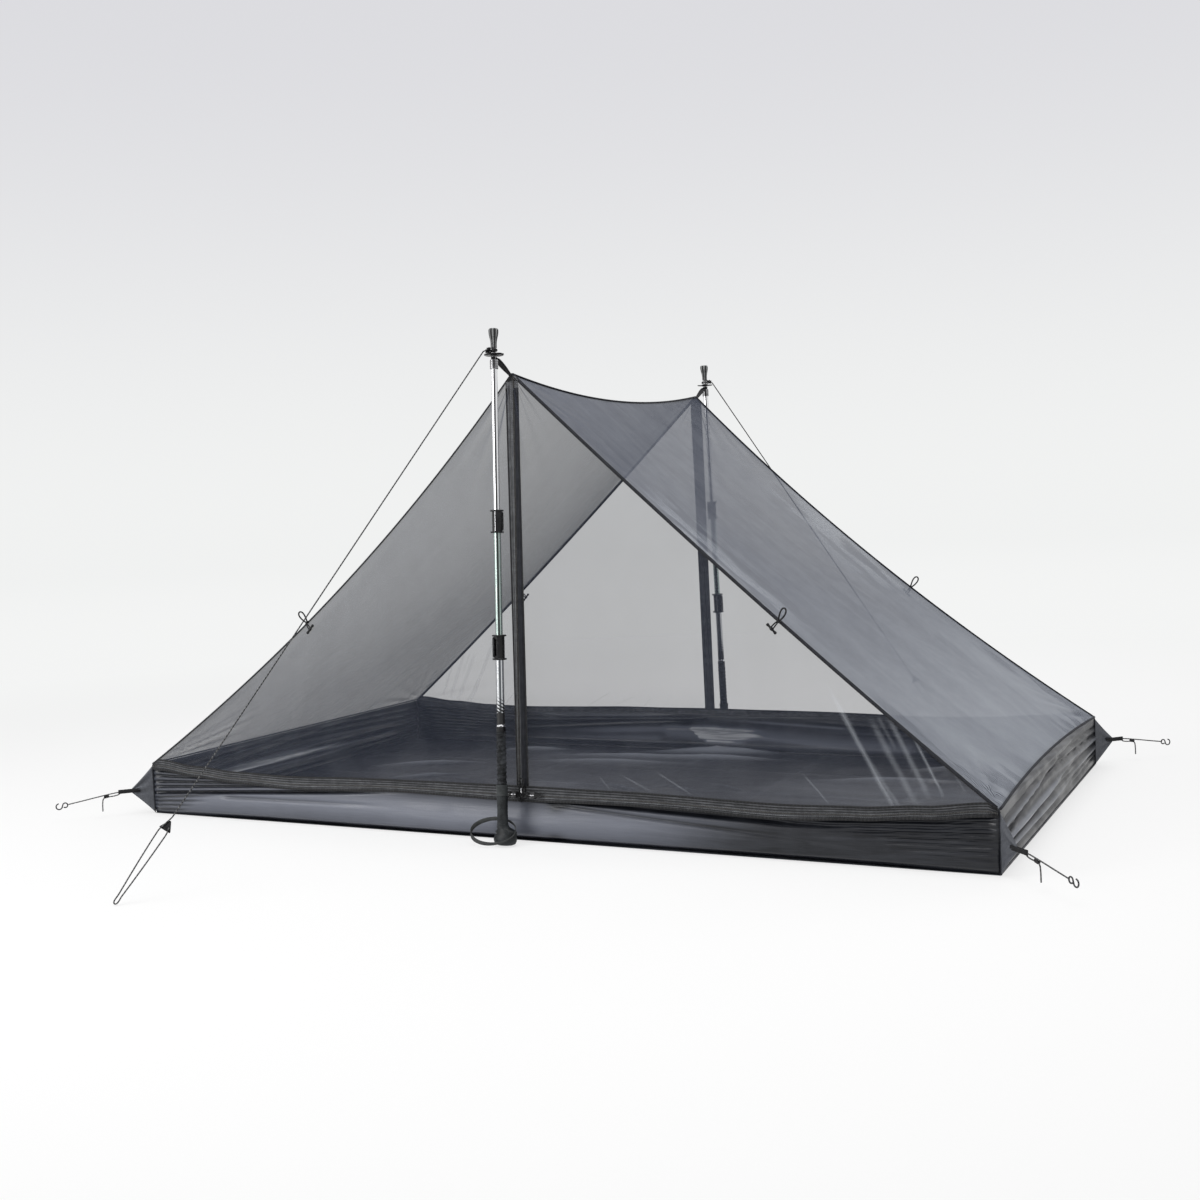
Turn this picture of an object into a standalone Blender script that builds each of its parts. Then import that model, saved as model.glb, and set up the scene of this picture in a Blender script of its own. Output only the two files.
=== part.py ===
"""Two-person inner tent held up by two trekking poles, standing pitched.

Metres, +Z up, +X along the long side, +Y from the front door to the rear door.
The origin is on the ground under the middle of the floor. The rear half is the
front half turned half a turn about Z, so most pieces are made once in the frame
of one side and placed under an empty for each side.
"""
import math

import bmesh
import bpy
from mathutils import Vector

# Floor, walls and the tent's outline
FLOOR_LENGTH = 2.20
FLOOR_WIDTH = 1.24
CLOTH = 0.0010
FLOOR_CLOTH = 0.0015
WALL_HEIGHT = 0.130
WALL_DIP = 0.014
PEAK_HEIGHT = 1.070
RIDGE_SPAN = 1.080
RIDGE_SAG = 0.038
SEAM_SAG = 0.028

# Clearances
TOUCH_GAP = 0.0003
HINGE_GAP = 0.0008
EDGE_GAP = 0.0004
SLIDE_FIT = 0.0003

# Doors, zips and tapes
SEAM_STRIP_WIDTH = 0.012
BASE_ZIP_HEIGHT = 0.026
ZIP_HALF_WIDTH = 0.012
ZIP_TEETH_GAP = 0.0010
RIDGE_TAPE_WIDTH = 0.016
SLIDER_WIDTH = 0.008
SLIDER_HEIGHT = 0.014
SLIDER_THICKNESS = 0.0035
SLIDER_START = 0.004
PULL_LENGTH = 0.020
PULL_THICKNESS = 0.0016
PULL_STANDOFF = 0.0012

# Trekking poles, lengths along the pole from its foot on the ground
POLE_OFFSET = 0.0565
POLE_HEAD_OFFSET = 0.0763
FERRULE_ABOVE_PEAK = 0.0065
POMMEL_TOP = 0.042
HANDLE_TOP = 0.112
COLLAR_TOP = 0.137
GRIP_LENGTH = 0.257
BAND_LENGTH = 0.012
LOWER_LOCK_BASE = 0.420
LOWER_LOCK_LENGTH = 0.0566
UPPER_LOCK_BASE = 0.707
UPPER_LOCK_LENGTH = 0.052
TIP_SECTION_BASE = 0.557
FERRULE_LENGTH = 0.0215
STRAP_SEAT = 0.0075
BASKET_HEIGHT = 0.0064
KNOT_SPACE = 0.0115
TIP_COVER_LENGTH = 0.0445
MIDDLE_OVERLAP = 0.240
TIP_RADIUS = 0.0070
MIDDLE_RADIUS = 0.0080
UPPER_RADIUS = 0.0090
TUBE_WALL = 0.0007
FERRULE_RADIUS = 0.0095
NECK_RADIUS = 0.0048
BASKET_RADIUS = 0.0225
BASKET_DISC = 0.0020
COVER_TOP_RADIUS = 0.0113
COVER_BASE_RADIUS = 0.0070
GRIP_RADIUS = 0.0112
HANDLE_RADIUS = 0.0130
POMMEL_HALF_LENGTH = 0.0285
POMMEL_HALF_DEPTH = 0.0200
POMMEL_SHIFT = 0.0060
POMMEL_LIP = 0.0357
GRIP_FLOOR = 0.010
LOCK_WALL = 0.0030
LOCK_FLANGE = 0.0034
LEVER_THICKNESS = 0.0040
LEVER_SWEEP = math.radians(150)

# Wrist strap, an oval band round the pommel
STRAP_BAND = 0.0020
STRAP_HALF_HEIGHT = 0.0050
STRAP_END_HALF_HEIGHT = 0.0010
STRAP_LENGTH = 0.1150
STRAP_FRONT = 0.0320
STRAP_BACK = 0.0200
STRAP_RISE = 0.0490
STRAP_HINGE_INSET = 0.0003

# Peak straps and guy lines
PEAK_STRAP_WIDTH = 0.015
PEAK_STRAP_THICKNESS = 0.0016
CORD_RADIUS = 0.0015
GUY_FOOT_X = -0.50
GUY_FOOT_Y = -1.36
GUY_TAIL = 0.195
TENSIONER_SIDE = 0.030
TENSIONER_THICKNESS = 0.0025
GUY_LOOP_HALF = 0.004

# Corner tabs, their cords and hooks
TAB_REACH = 0.055
WEBBING_LENGTH = 0.030
WEBBING_HALF_HEIGHT = 0.006
TAB_THICKNESS = 0.0015
CORNER_CORD_REACH = 0.128
CORNER_CORD_DROP = 0.020
CORNER_TAIL_START = 0.040
CORNER_TAIL_DROP = 0.034
CORNER_STRAND_GAP = 0.0070
HOOK_WIRE = 0.0016
HOOK_EYE = 0.0060
HOOK_BEND = 0.0075

# Roundness
TURNED_SIDES = 18
CORD_SIDE_STEPS = 2
CATENARY_STEPS = 12
RIDGE_STEPS = 8

HALF_LENGTH = FLOOR_LENGTH / 2
HALF_WIDTH = FLOOR_WIDTH / 2
HALF_RIDGE = RIDGE_SPAN / 2
FACE_LEAN = (HALF_WIDTH - HALF_RIDGE) / (PEAK_HEIGHT - WALL_HEIGHT)
HINGE_OFFSET = SEAM_SAG + SEAM_STRIP_WIDTH
FERRULE_BASE = PEAK_HEIGHT + FERRULE_ABOVE_PEAK
NECK_BASE = FERRULE_BASE + FERRULE_LENGTH
BASKET_BASE = NECK_BASE + STRAP_SEAT + TOUCH_GAP
COVER_BASE = BASKET_BASE + BASKET_HEIGHT + KNOT_SPACE
POLE_FOOT_Y = -(HALF_WIDTH + POLE_OFFSET)
POLE_LEAN = (HALF_WIDTH + POLE_OFFSET - HALF_RIDGE - POLE_HEAD_OFFSET) / NECK_BASE
POLE_ANGLE = math.atan(POLE_LEAN)
POLE_LIFT = POMMEL_HALF_DEPTH * math.sin(POLE_ANGLE)


def remove_everything():
    for item in list(bpy.data.objects):
        bpy.data.objects.remove(item)


def material(name, colour, roughness, metallic=0.0):
    made = bpy.data.materials.get(name)
    if made:
        return made
    made = bpy.data.materials.new(name)
    made.use_nodes = True
    shader = made.node_tree.nodes["Principled BSDF"]
    shader.inputs["Base Color"].default_value = (*colour, 1.0)
    shader.inputs["Roughness"].default_value = roughness
    shader.inputs["Metallic"].default_value = metallic
    return made


def mesh_material():
    return material("insect mesh", (0.22, 0.23, 0.26), 0.7)


def wall_material():
    return material("coated floor cloth", (0.07, 0.08, 0.10), 0.35)


def tape_material():
    return material("seam tape", (0.03, 0.035, 0.04), 0.8)


def zip_material():
    return material("zip tape", (0.05, 0.045, 0.04), 0.7)


def webbing_material():
    return material("black webbing", (0.01, 0.01, 0.012), 0.8)


def cord_material():
    return material("flecked cord", (0.12, 0.12, 0.13), 0.75)


def hook_material():
    return material("dark hook", (0.05, 0.05, 0.055), 0.4, 0.6)


def slider_material():
    return material("zip slider", (0.02, 0.02, 0.02), 0.35, 0.8)


def tip_tube_material():
    return material("polished tube", (0.75, 0.75, 0.76), 0.15, 1.0)


def middle_tube_material():
    return material("grey green tube", (0.35, 0.40, 0.37), 0.3, 1.0)


def upper_tube_material():
    return material("silver tube", (0.62, 0.63, 0.64), 0.3, 1.0)


def foam_material():
    return material("foam grip", (0.02, 0.02, 0.02), 0.9)


def rubber_material():
    return material("black rubber", (0.015, 0.015, 0.015), 0.7)


def lever_material():
    return material("black plastic", (0.02, 0.02, 0.022), 0.4)


def add_object(name, mesh, look, parent=None):
    item = bpy.data.objects.new(name, mesh)
    bpy.context.collection.objects.link(item)
    item.parent = parent
    if not item.data.materials:
        item.data.materials.append(look)
    return item


def add_empty(name, location=(0, 0, 0), rotation=(0, 0, 0), parent=None):
    item = bpy.data.objects.new(name, None)
    item.location = location
    item.rotation_euler = rotation
    item.parent = parent
    bpy.context.collection.objects.link(item)
    return item


def thicken(item, thickness):
    solid = item.modifiers.new("thickness", "SOLIDIFY")
    solid.thickness = thickness
    solid.offset = 0.0
    solid.use_even_offset = True
    return item


def cloth_grid(name, rows, look, thickness=CLOTH, parent=None):
    """A sheet through a grid of points, given as rows of equal length."""
    bm = bmesh.new()
    grid = [[bm.verts.new(point) for point in row] for row in rows]
    for upper, lower in zip(grid, grid[1:]):
        for step in range(len(upper) - 1):
            bm.faces.new((upper[step], upper[step + 1], lower[step + 1], lower[step]))
    bmesh.ops.recalc_face_normals(bm, faces=bm.faces)
    mesh = bpy.data.meshes.new(name)
    bm.to_mesh(mesh)
    bm.free()
    return thicken(add_object(name, mesh, look, parent), thickness)


def lofted(name, rings, look, parent=None, open_bore=False, sides=TURNED_SIDES):
    """A solid through oval rings (height, half length, half depth, shift along X)."""
    bm = bmesh.new()
    loops = []
    for height, half_x, half_y, shift in rings:
        loop = []
        for side in range(sides):
            angle = math.tau * side / sides
            loop.append(bm.verts.new((shift + half_x * math.cos(angle), half_y * math.sin(angle), height)))
        loops.append(loop)
    pairs = list(zip(loops, loops[1:]))
    if open_bore:
        pairs.append((loops[-1], loops[0]))
    else:
        bm.faces.new(loops[0])
        bm.faces.new(loops[-1])
    for lower, upper in pairs:
        for side in range(sides):
            after = (side + 1) % sides
            bm.faces.new((lower[side], lower[after], upper[after], upper[side]))
    bmesh.ops.recalc_face_normals(bm, faces=bm.faces)
    mesh = bpy.data.meshes.new(name)
    bm.to_mesh(mesh)
    bm.free()
    mesh.shade_smooth()
    mesh.set_sharp_from_angle(angle=math.radians(35))
    return add_object(name, mesh, look, parent)


def turned(name, profile, look, parent=None, open_bore=False):
    """A round solid through (radius, height) points, run up the outside and down the bore."""
    rings = [(height, radius, radius, 0.0) for radius, height in profile]
    return lofted(name, rings, look, parent, open_bore)


def extruded(name, outline, depth, look, parent=None):
    """A closed outline of points, thickened to both sides by half the depth."""
    bm = bmesh.new()
    bm.faces.new([bm.verts.new(point) for point in outline])
    mesh = bpy.data.meshes.new(name)
    bm.to_mesh(mesh)
    bm.free()
    return thicken(add_object(name, mesh, look, parent), depth)


def tube(name, points, radius, look, parent=None, smoothness=CORD_SIDE_STEPS):
    curve = bpy.data.curves.new(name, "CURVE")
    curve.dimensions = "3D"
    curve.bevel_depth = radius
    curve.bevel_resolution = smoothness
    curve.use_fill_caps = True
    curve.materials.append(look)
    spline = curve.splines.new("POLY")
    spline.points.add(len(points) - 1)
    for slot, point in zip(spline.points, points):
        slot.co = (*point, 1.0)
    return add_object(name, curve, look, parent)


def smooth_route(knots, steps):
    """Points on a smooth curve through the knots, with a number of steps for each span."""
    knots = [Vector(knot) for knot in knots]
    points = []
    for span in range(len(knots) - 1):
        before = knots[max(span - 1, 0)]
        start = knots[span]
        end = knots[span + 1]
        after = knots[min(span + 2, len(knots) - 1)]
        length = (end - start).length
        leave = (end - before).normalized() * length
        arrive = (after - start).normalized() * length
        for step in range(steps[span]):
            t = step / steps[span]
            points.append(
                start * (2 * t**3 - 3 * t**2 + 1)
                + leave * (t**3 - 2 * t**2 + t)
                + end * (3 * t**2 - 2 * t**3)
                + arrive * (t**3 - t**2)
            )
    points.append(knots[-1])
    return points


def wall_top(x):
    return WALL_HEIGHT - WALL_DIP * (1 - (x / HALF_LENGTH) ** 2)


def on_face(x, z, lift=0.0):
    """A point on the plane of the front door, moved out of it by lift."""
    y = -HALF_WIDTH + FACE_LEAN * (z - WALL_HEIGHT)
    out = Vector((0, -1, FACE_LEAN)).normalized()
    return Vector((x, y, z)) + out * lift


def seam_directions(hand):
    """Unit vectors of one front seam in x and z: down the seam, and in towards the door."""
    down = Vector((hand * HALF_LENGTH, 0, WALL_HEIGHT - PEAK_HEIGHT))
    length = down.length
    down /= length
    inward = Vector((-hand * -down.z, 0, -abs(down.x)))
    return down, inward, length


def seam_point(hand, share):
    """A point in x and z on the sagging seam, with share 0 at the peak and 1 at the corner."""
    down, inward, length = seam_directions(hand)
    sag = SEAM_SAG * 4 * share * (1 - share)
    return Vector((0, 0, PEAK_HEIGHT)) + down * length * share + inward * sag


def hinge_height(hand, x, offset=HINGE_OFFSET):
    """Height of the line that a door leaf turns on, above a place x on the door."""
    down, inward, _ = seam_directions(hand)
    start = Vector((0, 0, PEAK_HEIGHT)) + inward * offset
    return start.z + (x - start.x) * down.z / down.x


def hinge_foot(hand, level_gap, offset=HINGE_OFFSET):
    """Place x where the hinge line comes down to the top of the base zip."""
    low, high = 0.0, HALF_LENGTH
    for _ in range(40):
        middle = (low + high) / 2
        top = wall_top(middle) + BASE_ZIP_HEIGHT + level_gap
        if hinge_height(1, middle, offset) > top:
            low = middle
        else:
            high = middle
    return hand * low


def make_floor():
    corners = [(x, y, FLOOR_CLOTH / 2) for x, y in (
        (-HALF_LENGTH, -HALF_WIDTH), (HALF_LENGTH, -HALF_WIDTH),
        (HALF_LENGTH, HALF_WIDTH), (-HALF_LENGTH, HALF_WIDTH))]
    extruded("floor", corners, FLOOR_CLOTH, wall_material())


def make_long_wall(name, side_frame):
    """The upright wall under a door, on the floor's edge."""
    base = FLOOR_CLOTH + TOUCH_GAP
    y = -HALF_WIDTH + CLOTH / 2
    rows = [[], []]
    for step in range(CATENARY_STEPS + 1):
        x = -HALF_LENGTH + FLOOR_LENGTH * step / CATENARY_STEPS
        rows[0].append((x, y, base))
        rows[1].append((x, y, wall_top(x)))
    cloth_grid(name, rows, wall_material(), CLOTH, side_frame)


def make_end_wall(name, hand):
    """The upright wall at one end, fitted between the long walls."""
    base = FLOOR_CLOTH + TOUCH_GAP
    reach = HALF_WIDTH - CLOTH - TOUCH_GAP
    x = hand * (HALF_LENGTH - CLOTH / 2)
    top = WALL_HEIGHT - TOUCH_GAP
    corners = [(x, -reach, base), (x, reach, base), (x, reach, top), (x, -reach, top)]
    extruded(name, corners, CLOTH, wall_material())


def make_end_panel(name, hand):
    """The sloping mesh panel from the ridge down to one end wall, behind both doors' seams."""
    behind = CLOTH / 2 + TOUCH_GAP
    rows = []
    for step in range(CATENARY_STEPS + 1):
        share = step / CATENARY_STEPS
        edge = seam_point(hand, share)
        if step == 0:
            edge.x = hand * (CLOTH / 2 + EDGE_GAP)
        if step == CATENARY_STEPS:
            edge = Vector((hand * (HALF_LENGTH - CLOTH / 2), 0, WALL_HEIGHT + CLOTH / 2))
        front = on_face(edge.x, edge.z, -behind)
        row = []
        for across in range(RIDGE_STEPS + 1):
            place = across / RIDGE_STEPS
            y = front.y * (1 - 2 * place)
            drop = RIDGE_SAG * (1 - share) ** 2 * 4 * place * (1 - place)
            row.append((front.x, y, front.z - drop))
        rows.append(row)
    cloth_grid(name, rows, mesh_material())


def make_ridge_tape():
    """The binding over the ridge, between the two peaks."""
    lift = CLOTH + 2 * TOUCH_GAP
    reach = HALF_RIDGE - CLOTH / 2 - TOUCH_GAP
    rows = []
    for step in range(RIDGE_STEPS + 1):
        place = step / RIDGE_STEPS
        y = reach * (2 * place - 1)
        z = PEAK_HEIGHT - RIDGE_SAG * 4 * place * (1 - place) + lift
        rows.append([(-RIDGE_TAPE_WIDTH / 2, y, z), (RIDGE_TAPE_WIDTH / 2, y, z)])
    cloth_grid("ridge_tape", rows, tape_material())


def make_base_zip(name, side_frame):
    """The zip along the top of the long wall, cut off at both ends by the seams."""
    rows = [[], []]
    low_end = seam_foot_out() - EDGE_GAP
    high_end = abs(hinge_foot(1, 0.0)) - EDGE_GAP
    for step in range(CATENARY_STEPS + 1):
        share = 2 * step / CATENARY_STEPS - 1
        x = low_end * share
        rows[0].append(on_face(x, wall_top(x) + TOUCH_GAP))
        x = high_end * share
        rows[1].append(on_face(x, wall_top(x) + BASE_ZIP_HEIGHT))
    cloth_grid(name, rows, zip_material(), CLOTH, side_frame)


def seam_foot_out():
    """Place x where the seam's outer edge ends, just over the wall's top."""
    return HALF_LENGTH - 4 * EDGE_GAP


def make_seam(name, hand, side_frame):
    """The bound seam from a peak to a corner with the strip of mesh that stays put beside it."""
    centre = hand * ZIP_TEETH_GAP / 2
    top = PEAK_HEIGHT - EDGE_GAP
    meet = hinge_height(hand, centre)
    down, inward, length = seam_directions(hand)
    foot = hinge_foot(hand, 0.0)
    first = 0.004
    apex_share = 0.06
    outer = []
    inner = []
    for step in range(3):
        share = first + (apex_share - first) * step / 3
        outer.append(seam_point(hand, share))
        inner.append((centre, top - 0.004 - (top - 0.004 - meet) * step / 3))
    for step in range(CATENARY_STEPS + 1):
        share = step / CATENARY_STEPS
        if step == CATENARY_STEPS:
            end = hand * seam_foot_out()
            outer.append(Vector((end, 0, wall_top(end) + EDGE_GAP)))
        else:
            outer.append(seam_point(hand, apex_share + (1 - apex_share) * share))
        x = centre + (foot - centre) * share
        inner.append((x, hinge_height(hand, x)))
    rows = []
    for edge, (x, z) in zip(outer, inner):
        rows.append([on_face(edge.x, edge.z), on_face(x, z)])
    cloth_grid(name, rows, tape_material(), CLOTH, side_frame)


def leaf_corner(hand):
    """Outer low corner of a door leaf, on its hinge line over the base zip."""
    foot = hinge_foot(hand, HINGE_GAP, HINGE_OFFSET + HINGE_GAP)
    return foot, hinge_height(hand, foot, HINGE_OFFSET + HINGE_GAP)


def make_leaf(name, hand, side_frame):
    """One mesh leaf of a door: it turns on its seam, and its zips run along the other edges."""
    inner_x = hand * (ZIP_TEETH_GAP / 2 + ZIP_HALF_WIDTH + TOUCH_GAP)
    corner_x, corner_z = leaf_corner(hand)
    outline = [on_face(inner_x, hinge_height(hand, inner_x, HINGE_OFFSET + HINGE_GAP)),
               on_face(corner_x, corner_z)]
    for step in range(1, 9):
        x = corner_x + (inner_x - corner_x) * step / 8
        outline.append(on_face(x, wall_top(x) + BASE_ZIP_HEIGHT + HINGE_GAP))
    extruded(name, outline, CLOTH, mesh_material(), side_frame)


def make_zip_tape(name, hand, side_frame):
    """The half of the upright zip that is sewn to one leaf."""
    teeth = hand * ZIP_TEETH_GAP / 2
    hem = hand * (ZIP_TEETH_GAP / 2 + ZIP_HALF_WIDTH)
    base = wall_top(0) + BASE_ZIP_HEIGHT + HINGE_GAP
    outline = [on_face(teeth, base), on_face(hem, base)]
    for x in (hem, teeth):
        outline.append(on_face(x, hinge_height(hand, x, HINGE_OFFSET + HINGE_GAP)))
    extruded(name, outline, CLOTH, zip_material(), side_frame)


def make_slider(name, side_frame):
    """The slider on the outside of the upright zip, with its pull hanging in front."""
    base = wall_top(0) + BASE_ZIP_HEIGHT + SLIDER_START
    back = CLOTH / 2 + TOUCH_GAP
    front = back + SLIDER_THICKNESS
    pull_back = front + PULL_STANDOFF
    pull_front = pull_back + PULL_THICKNESS
    top = base + PULL_LENGTH + SLIDER_HEIGHT / 2
    low = top - SLIDER_HEIGHT
    shape = [(back, low), (front, low + 0.002), (front, top - 0.006), (pull_back, top - 0.007),
             (pull_back, base), (pull_front, base), (pull_front, top - 0.003), (front, top - 0.001),
             (back, top)]
    outline = [on_face(0, z, lift) for lift, z in shape]
    extruded(name, outline, SLIDER_WIDTH, slider_material(), side_frame)


def pole_frame(side, side_frame):
    return add_empty("pole_axis_" + side, (0, POLE_FOOT_Y, POLE_LIFT), (-POLE_ANGLE, 0, 0), side_frame)


def pole_point(height, x=0.0, y=0.0):
    """A point of the front pole's own frame, given in the frame of its side."""
    across = y * math.cos(POLE_ANGLE) + height * math.sin(POLE_ANGLE)
    up = height * math.cos(POLE_ANGLE) - y * math.sin(POLE_ANGLE)
    return Vector((x, POLE_FOOT_Y + across, POLE_LIFT + up))


def make_grip(name, axis):
    """Pommel on the ground, moulded handle, collar and foam, with a blind bore for the tube."""
    bore = UPPER_RADIUS + SLIDE_FIT
    lip = (POMMEL_LIP + POMMEL_HALF_LENGTH - POMMEL_SHIFT) / 2 - 0.002
    lip_shift = POMMEL_LIP - lip
    rings = [
        (0.0, POMMEL_HALF_LENGTH - 0.007, POMMEL_HALF_DEPTH - 0.004, POMMEL_SHIFT),
        (0.004, POMMEL_HALF_LENGTH - 0.002, POMMEL_HALF_DEPTH - 0.001, POMMEL_SHIFT),
        (0.014, POMMEL_HALF_LENGTH, POMMEL_HALF_DEPTH, POMMEL_SHIFT),
        (0.026, lip - 0.002, HANDLE_RADIUS + 0.003, lip_shift + 0.0012),
        (0.030, lip, HANDLE_RADIUS + 0.002, lip_shift),
        (0.035, lip - 0.004, HANDLE_RADIUS + 0.001, lip_shift - 0.001),
        (POMMEL_TOP, HANDLE_RADIUS, HANDLE_RADIUS - 0.0005, 0.0),
        (0.060, HANDLE_RADIUS - 0.0008, HANDLE_RADIUS - 0.0008, 0.0),
        (0.090, HANDLE_RADIUS, HANDLE_RADIUS, 0.0),
        (HANDLE_TOP - 0.002, HANDLE_RADIUS - 0.0008, HANDLE_RADIUS - 0.0008, 0.0),
        (HANDLE_TOP, HANDLE_RADIUS + 0.0006, HANDLE_RADIUS + 0.0006, 0.0),
        (COLLAR_TOP - 0.002, HANDLE_RADIUS, HANDLE_RADIUS, 0.0),
        (COLLAR_TOP, GRIP_RADIUS, GRIP_RADIUS, 0.0),
        (GRIP_LENGTH - 0.003, GRIP_RADIUS, GRIP_RADIUS, 0.0),
        (GRIP_LENGTH, GRIP_RADIUS - 0.001, GRIP_RADIUS - 0.001, 0.0),
        (GRIP_LENGTH, bore, bore, 0.0),
        (GRIP_FLOOR, bore, bore, 0.0),
    ]
    lofted(name, rings, foam_material(), axis)


def lock_profile(radius, base, length):
    """Outer points of a spool-shaped clamp body on a tube's end."""
    core = radius + LOCK_WALL
    flange = core + LEVER_THICKNESS + EDGE_GAP
    return [(flange, base), (flange, base + LOCK_FLANGE), (core, base + LOCK_FLANGE),
            (core, base + length - LOCK_FLANGE), (flange, base + length - LOCK_FLANGE),
            (flange, base + length)]


def make_tube_section(name, axis, radius, bore, base, lock_base, lock_length, look, band=0.0):
    """A shaft tube with the clamp for the next tube on its upper end."""
    profile = [(radius, base)]
    if band:
        seat = GRIP_LENGTH + TOUCH_GAP
        swell = radius + 0.0015
        profile += [(radius, seat), (swell, seat), (swell, seat + band), (radius, seat + band)]
    profile.append((radius, lock_base))
    profile += lock_profile(radius, lock_base, lock_length)
    profile += [(bore, lock_base + lock_length), (bore, base)]
    turned(name, profile, look, axis, open_bore=True)


def make_tip_section(name, axis):
    """The top tube with its ferrule, and the thin neck that carries strap, basket and cover."""
    bore = TIP_RADIUS - TUBE_WALL
    point = COVER_BASE + 0.014
    profile = [(bore, FERRULE_BASE - 0.020), (bore, TIP_SECTION_BASE), (TIP_RADIUS, TIP_SECTION_BASE),
               (TIP_RADIUS, FERRULE_BASE), (FERRULE_RADIUS, FERRULE_BASE + 0.001),
               (FERRULE_RADIUS, NECK_BASE), (NECK_RADIUS, NECK_BASE), (NECK_RADIUS, COVER_BASE + 0.006),
               (NECK_RADIUS - 0.002, point)]
    turned(name, profile, tip_tube_material(), axis)


def make_basket(name, axis):
    """The small mud basket, a flat disc on a hub."""
    bore = NECK_RADIUS + SLIDE_FIT
    hub = FERRULE_RADIUS - 0.001
    disc_low = BASKET_BASE + 0.0010
    disc_top = disc_low + BASKET_DISC
    profile = [(bore, BASKET_BASE), (hub, BASKET_BASE), (hub, disc_low), (BASKET_RADIUS - 0.001, disc_low),
               (BASKET_RADIUS, disc_low + BASKET_DISC / 2), (BASKET_RADIUS - 0.001, disc_top),
               (hub, disc_top), (hub - 0.001, BASKET_BASE + BASKET_HEIGHT),
               (bore, BASKET_BASE + BASKET_HEIGHT)]
    turned(name, profile, lever_material(), axis, open_bore=True)


def make_tip_cover(name, axis):
    """The rubber foot pushed over the point, wider at its free end."""
    bore = NECK_RADIUS + SLIDE_FIT
    top = COVER_BASE + TIP_COVER_LENGTH
    profile = [(bore, COVER_BASE + 0.016), (bore, COVER_BASE), (COVER_BASE_RADIUS, COVER_BASE),
               (COVER_BASE_RADIUS, COVER_BASE + 0.012), (COVER_TOP_RADIUS - 0.001, COVER_BASE + 0.030),
               (COVER_TOP_RADIUS, top - 0.008), (COVER_TOP_RADIUS - 0.002, top - 0.001),
               (COVER_TOP_RADIUS - 0.004, top)]
    turned(name, profile, rubber_material(), axis)


def make_lever(name, axis, radius, base, length, start):
    """A clamp lever wrapped round its spool; its origin is on its pin, in its rounded end."""
    half = LEVER_THICKNESS / 2
    arm = radius + LOCK_WALL + EDGE_GAP + half
    pin = Vector((arm * math.cos(start), arm * math.sin(start), 0))
    outline = []
    for step in range(13):
        angle = start + LEVER_SWEEP * step / 12
        reach = arm + half - EDGE_GAP
        outline.append(Vector((math.cos(angle), math.sin(angle), 0)) * reach)
    for step in range(13):
        angle = start + LEVER_SWEEP * (12 - step) / 12
        reach = arm - half
        outline.append(Vector((math.cos(angle), math.sin(angle), 0)) * reach)
    for step in range(1, 5):
        turn = start + math.pi + math.pi * step / 5
        outline.append(pin + Vector((math.cos(turn), math.sin(turn), 0)) * (half - EDGE_GAP / 2))
    low = base + LOCK_FLANGE + TOUCH_GAP
    high = base + length - LOCK_FLANGE - TOUCH_GAP
    middle = Vector((0, 0, (low + high) / 2))
    lever = extruded(name, [point - pin for point in outline], high - low, lever_material(), axis)
    lever.location = pin + middle


def make_wrist_strap(name, axis):
    """An oval webbing loop round the pommel, low in front and resting up on the handle behind."""
    hinge_x = POMMEL_LIP - STRAP_HINGE_INSET
    centre_x = hinge_x - STRAP_LENGTH / 2
    centre_y = (STRAP_BACK - STRAP_FRONT) / 2
    half_y = (STRAP_BACK + STRAP_FRONT) / 2
    low = STRAP_HALF_HEIGHT + 0.0006 + STRAP_FRONT * math.sin(POLE_ANGLE) - POLE_LIFT
    bm = bmesh.new()
    rings = []
    sides = 32
    for side in range(sides):
        angle = math.tau * side / sides
        narrow = ((1 + math.cos(angle)) / 2) ** 2
        tall = STRAP_HALF_HEIGHT + (STRAP_END_HALF_HEIGHT - STRAP_HALF_HEIGHT) * narrow
        out = Vector((math.cos(angle) * half_y, math.sin(angle) * STRAP_LENGTH / 2, 0)).normalized()
        middle = Vector((centre_x + STRAP_LENGTH / 2 * math.cos(angle),
                         centre_y + half_y * math.sin(angle),
                         low + STRAP_RISE * (1 + math.sin(angle)) / 2))
        corners = ((-1, -1), (1, -1), (1, 1), (-1, 1))
        rings.append([bm.verts.new(middle + out * across * STRAP_BAND / 2 + Vector((0, 0, tall * up)))
                      for across, up in corners])
    for side in range(sides):
        this, after = rings[side], rings[(side + 1) % sides]
        for edge in range(4):
            bm.faces.new((this[edge], this[(edge + 1) % 4], after[(edge + 1) % 4], after[edge]))
    bmesh.ops.recalc_face_normals(bm, faces=bm.faces)
    origin = Vector((hinge_x, 0, low + STRAP_RISE / 2))
    bmesh.ops.translate(bm, verts=bm.verts, vec=-origin)
    mesh = bpy.data.meshes.new(name)
    bm.to_mesh(mesh)
    bm.free()
    strap = add_object(name, mesh, webbing_material(), axis)
    strap.location = origin


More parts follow.
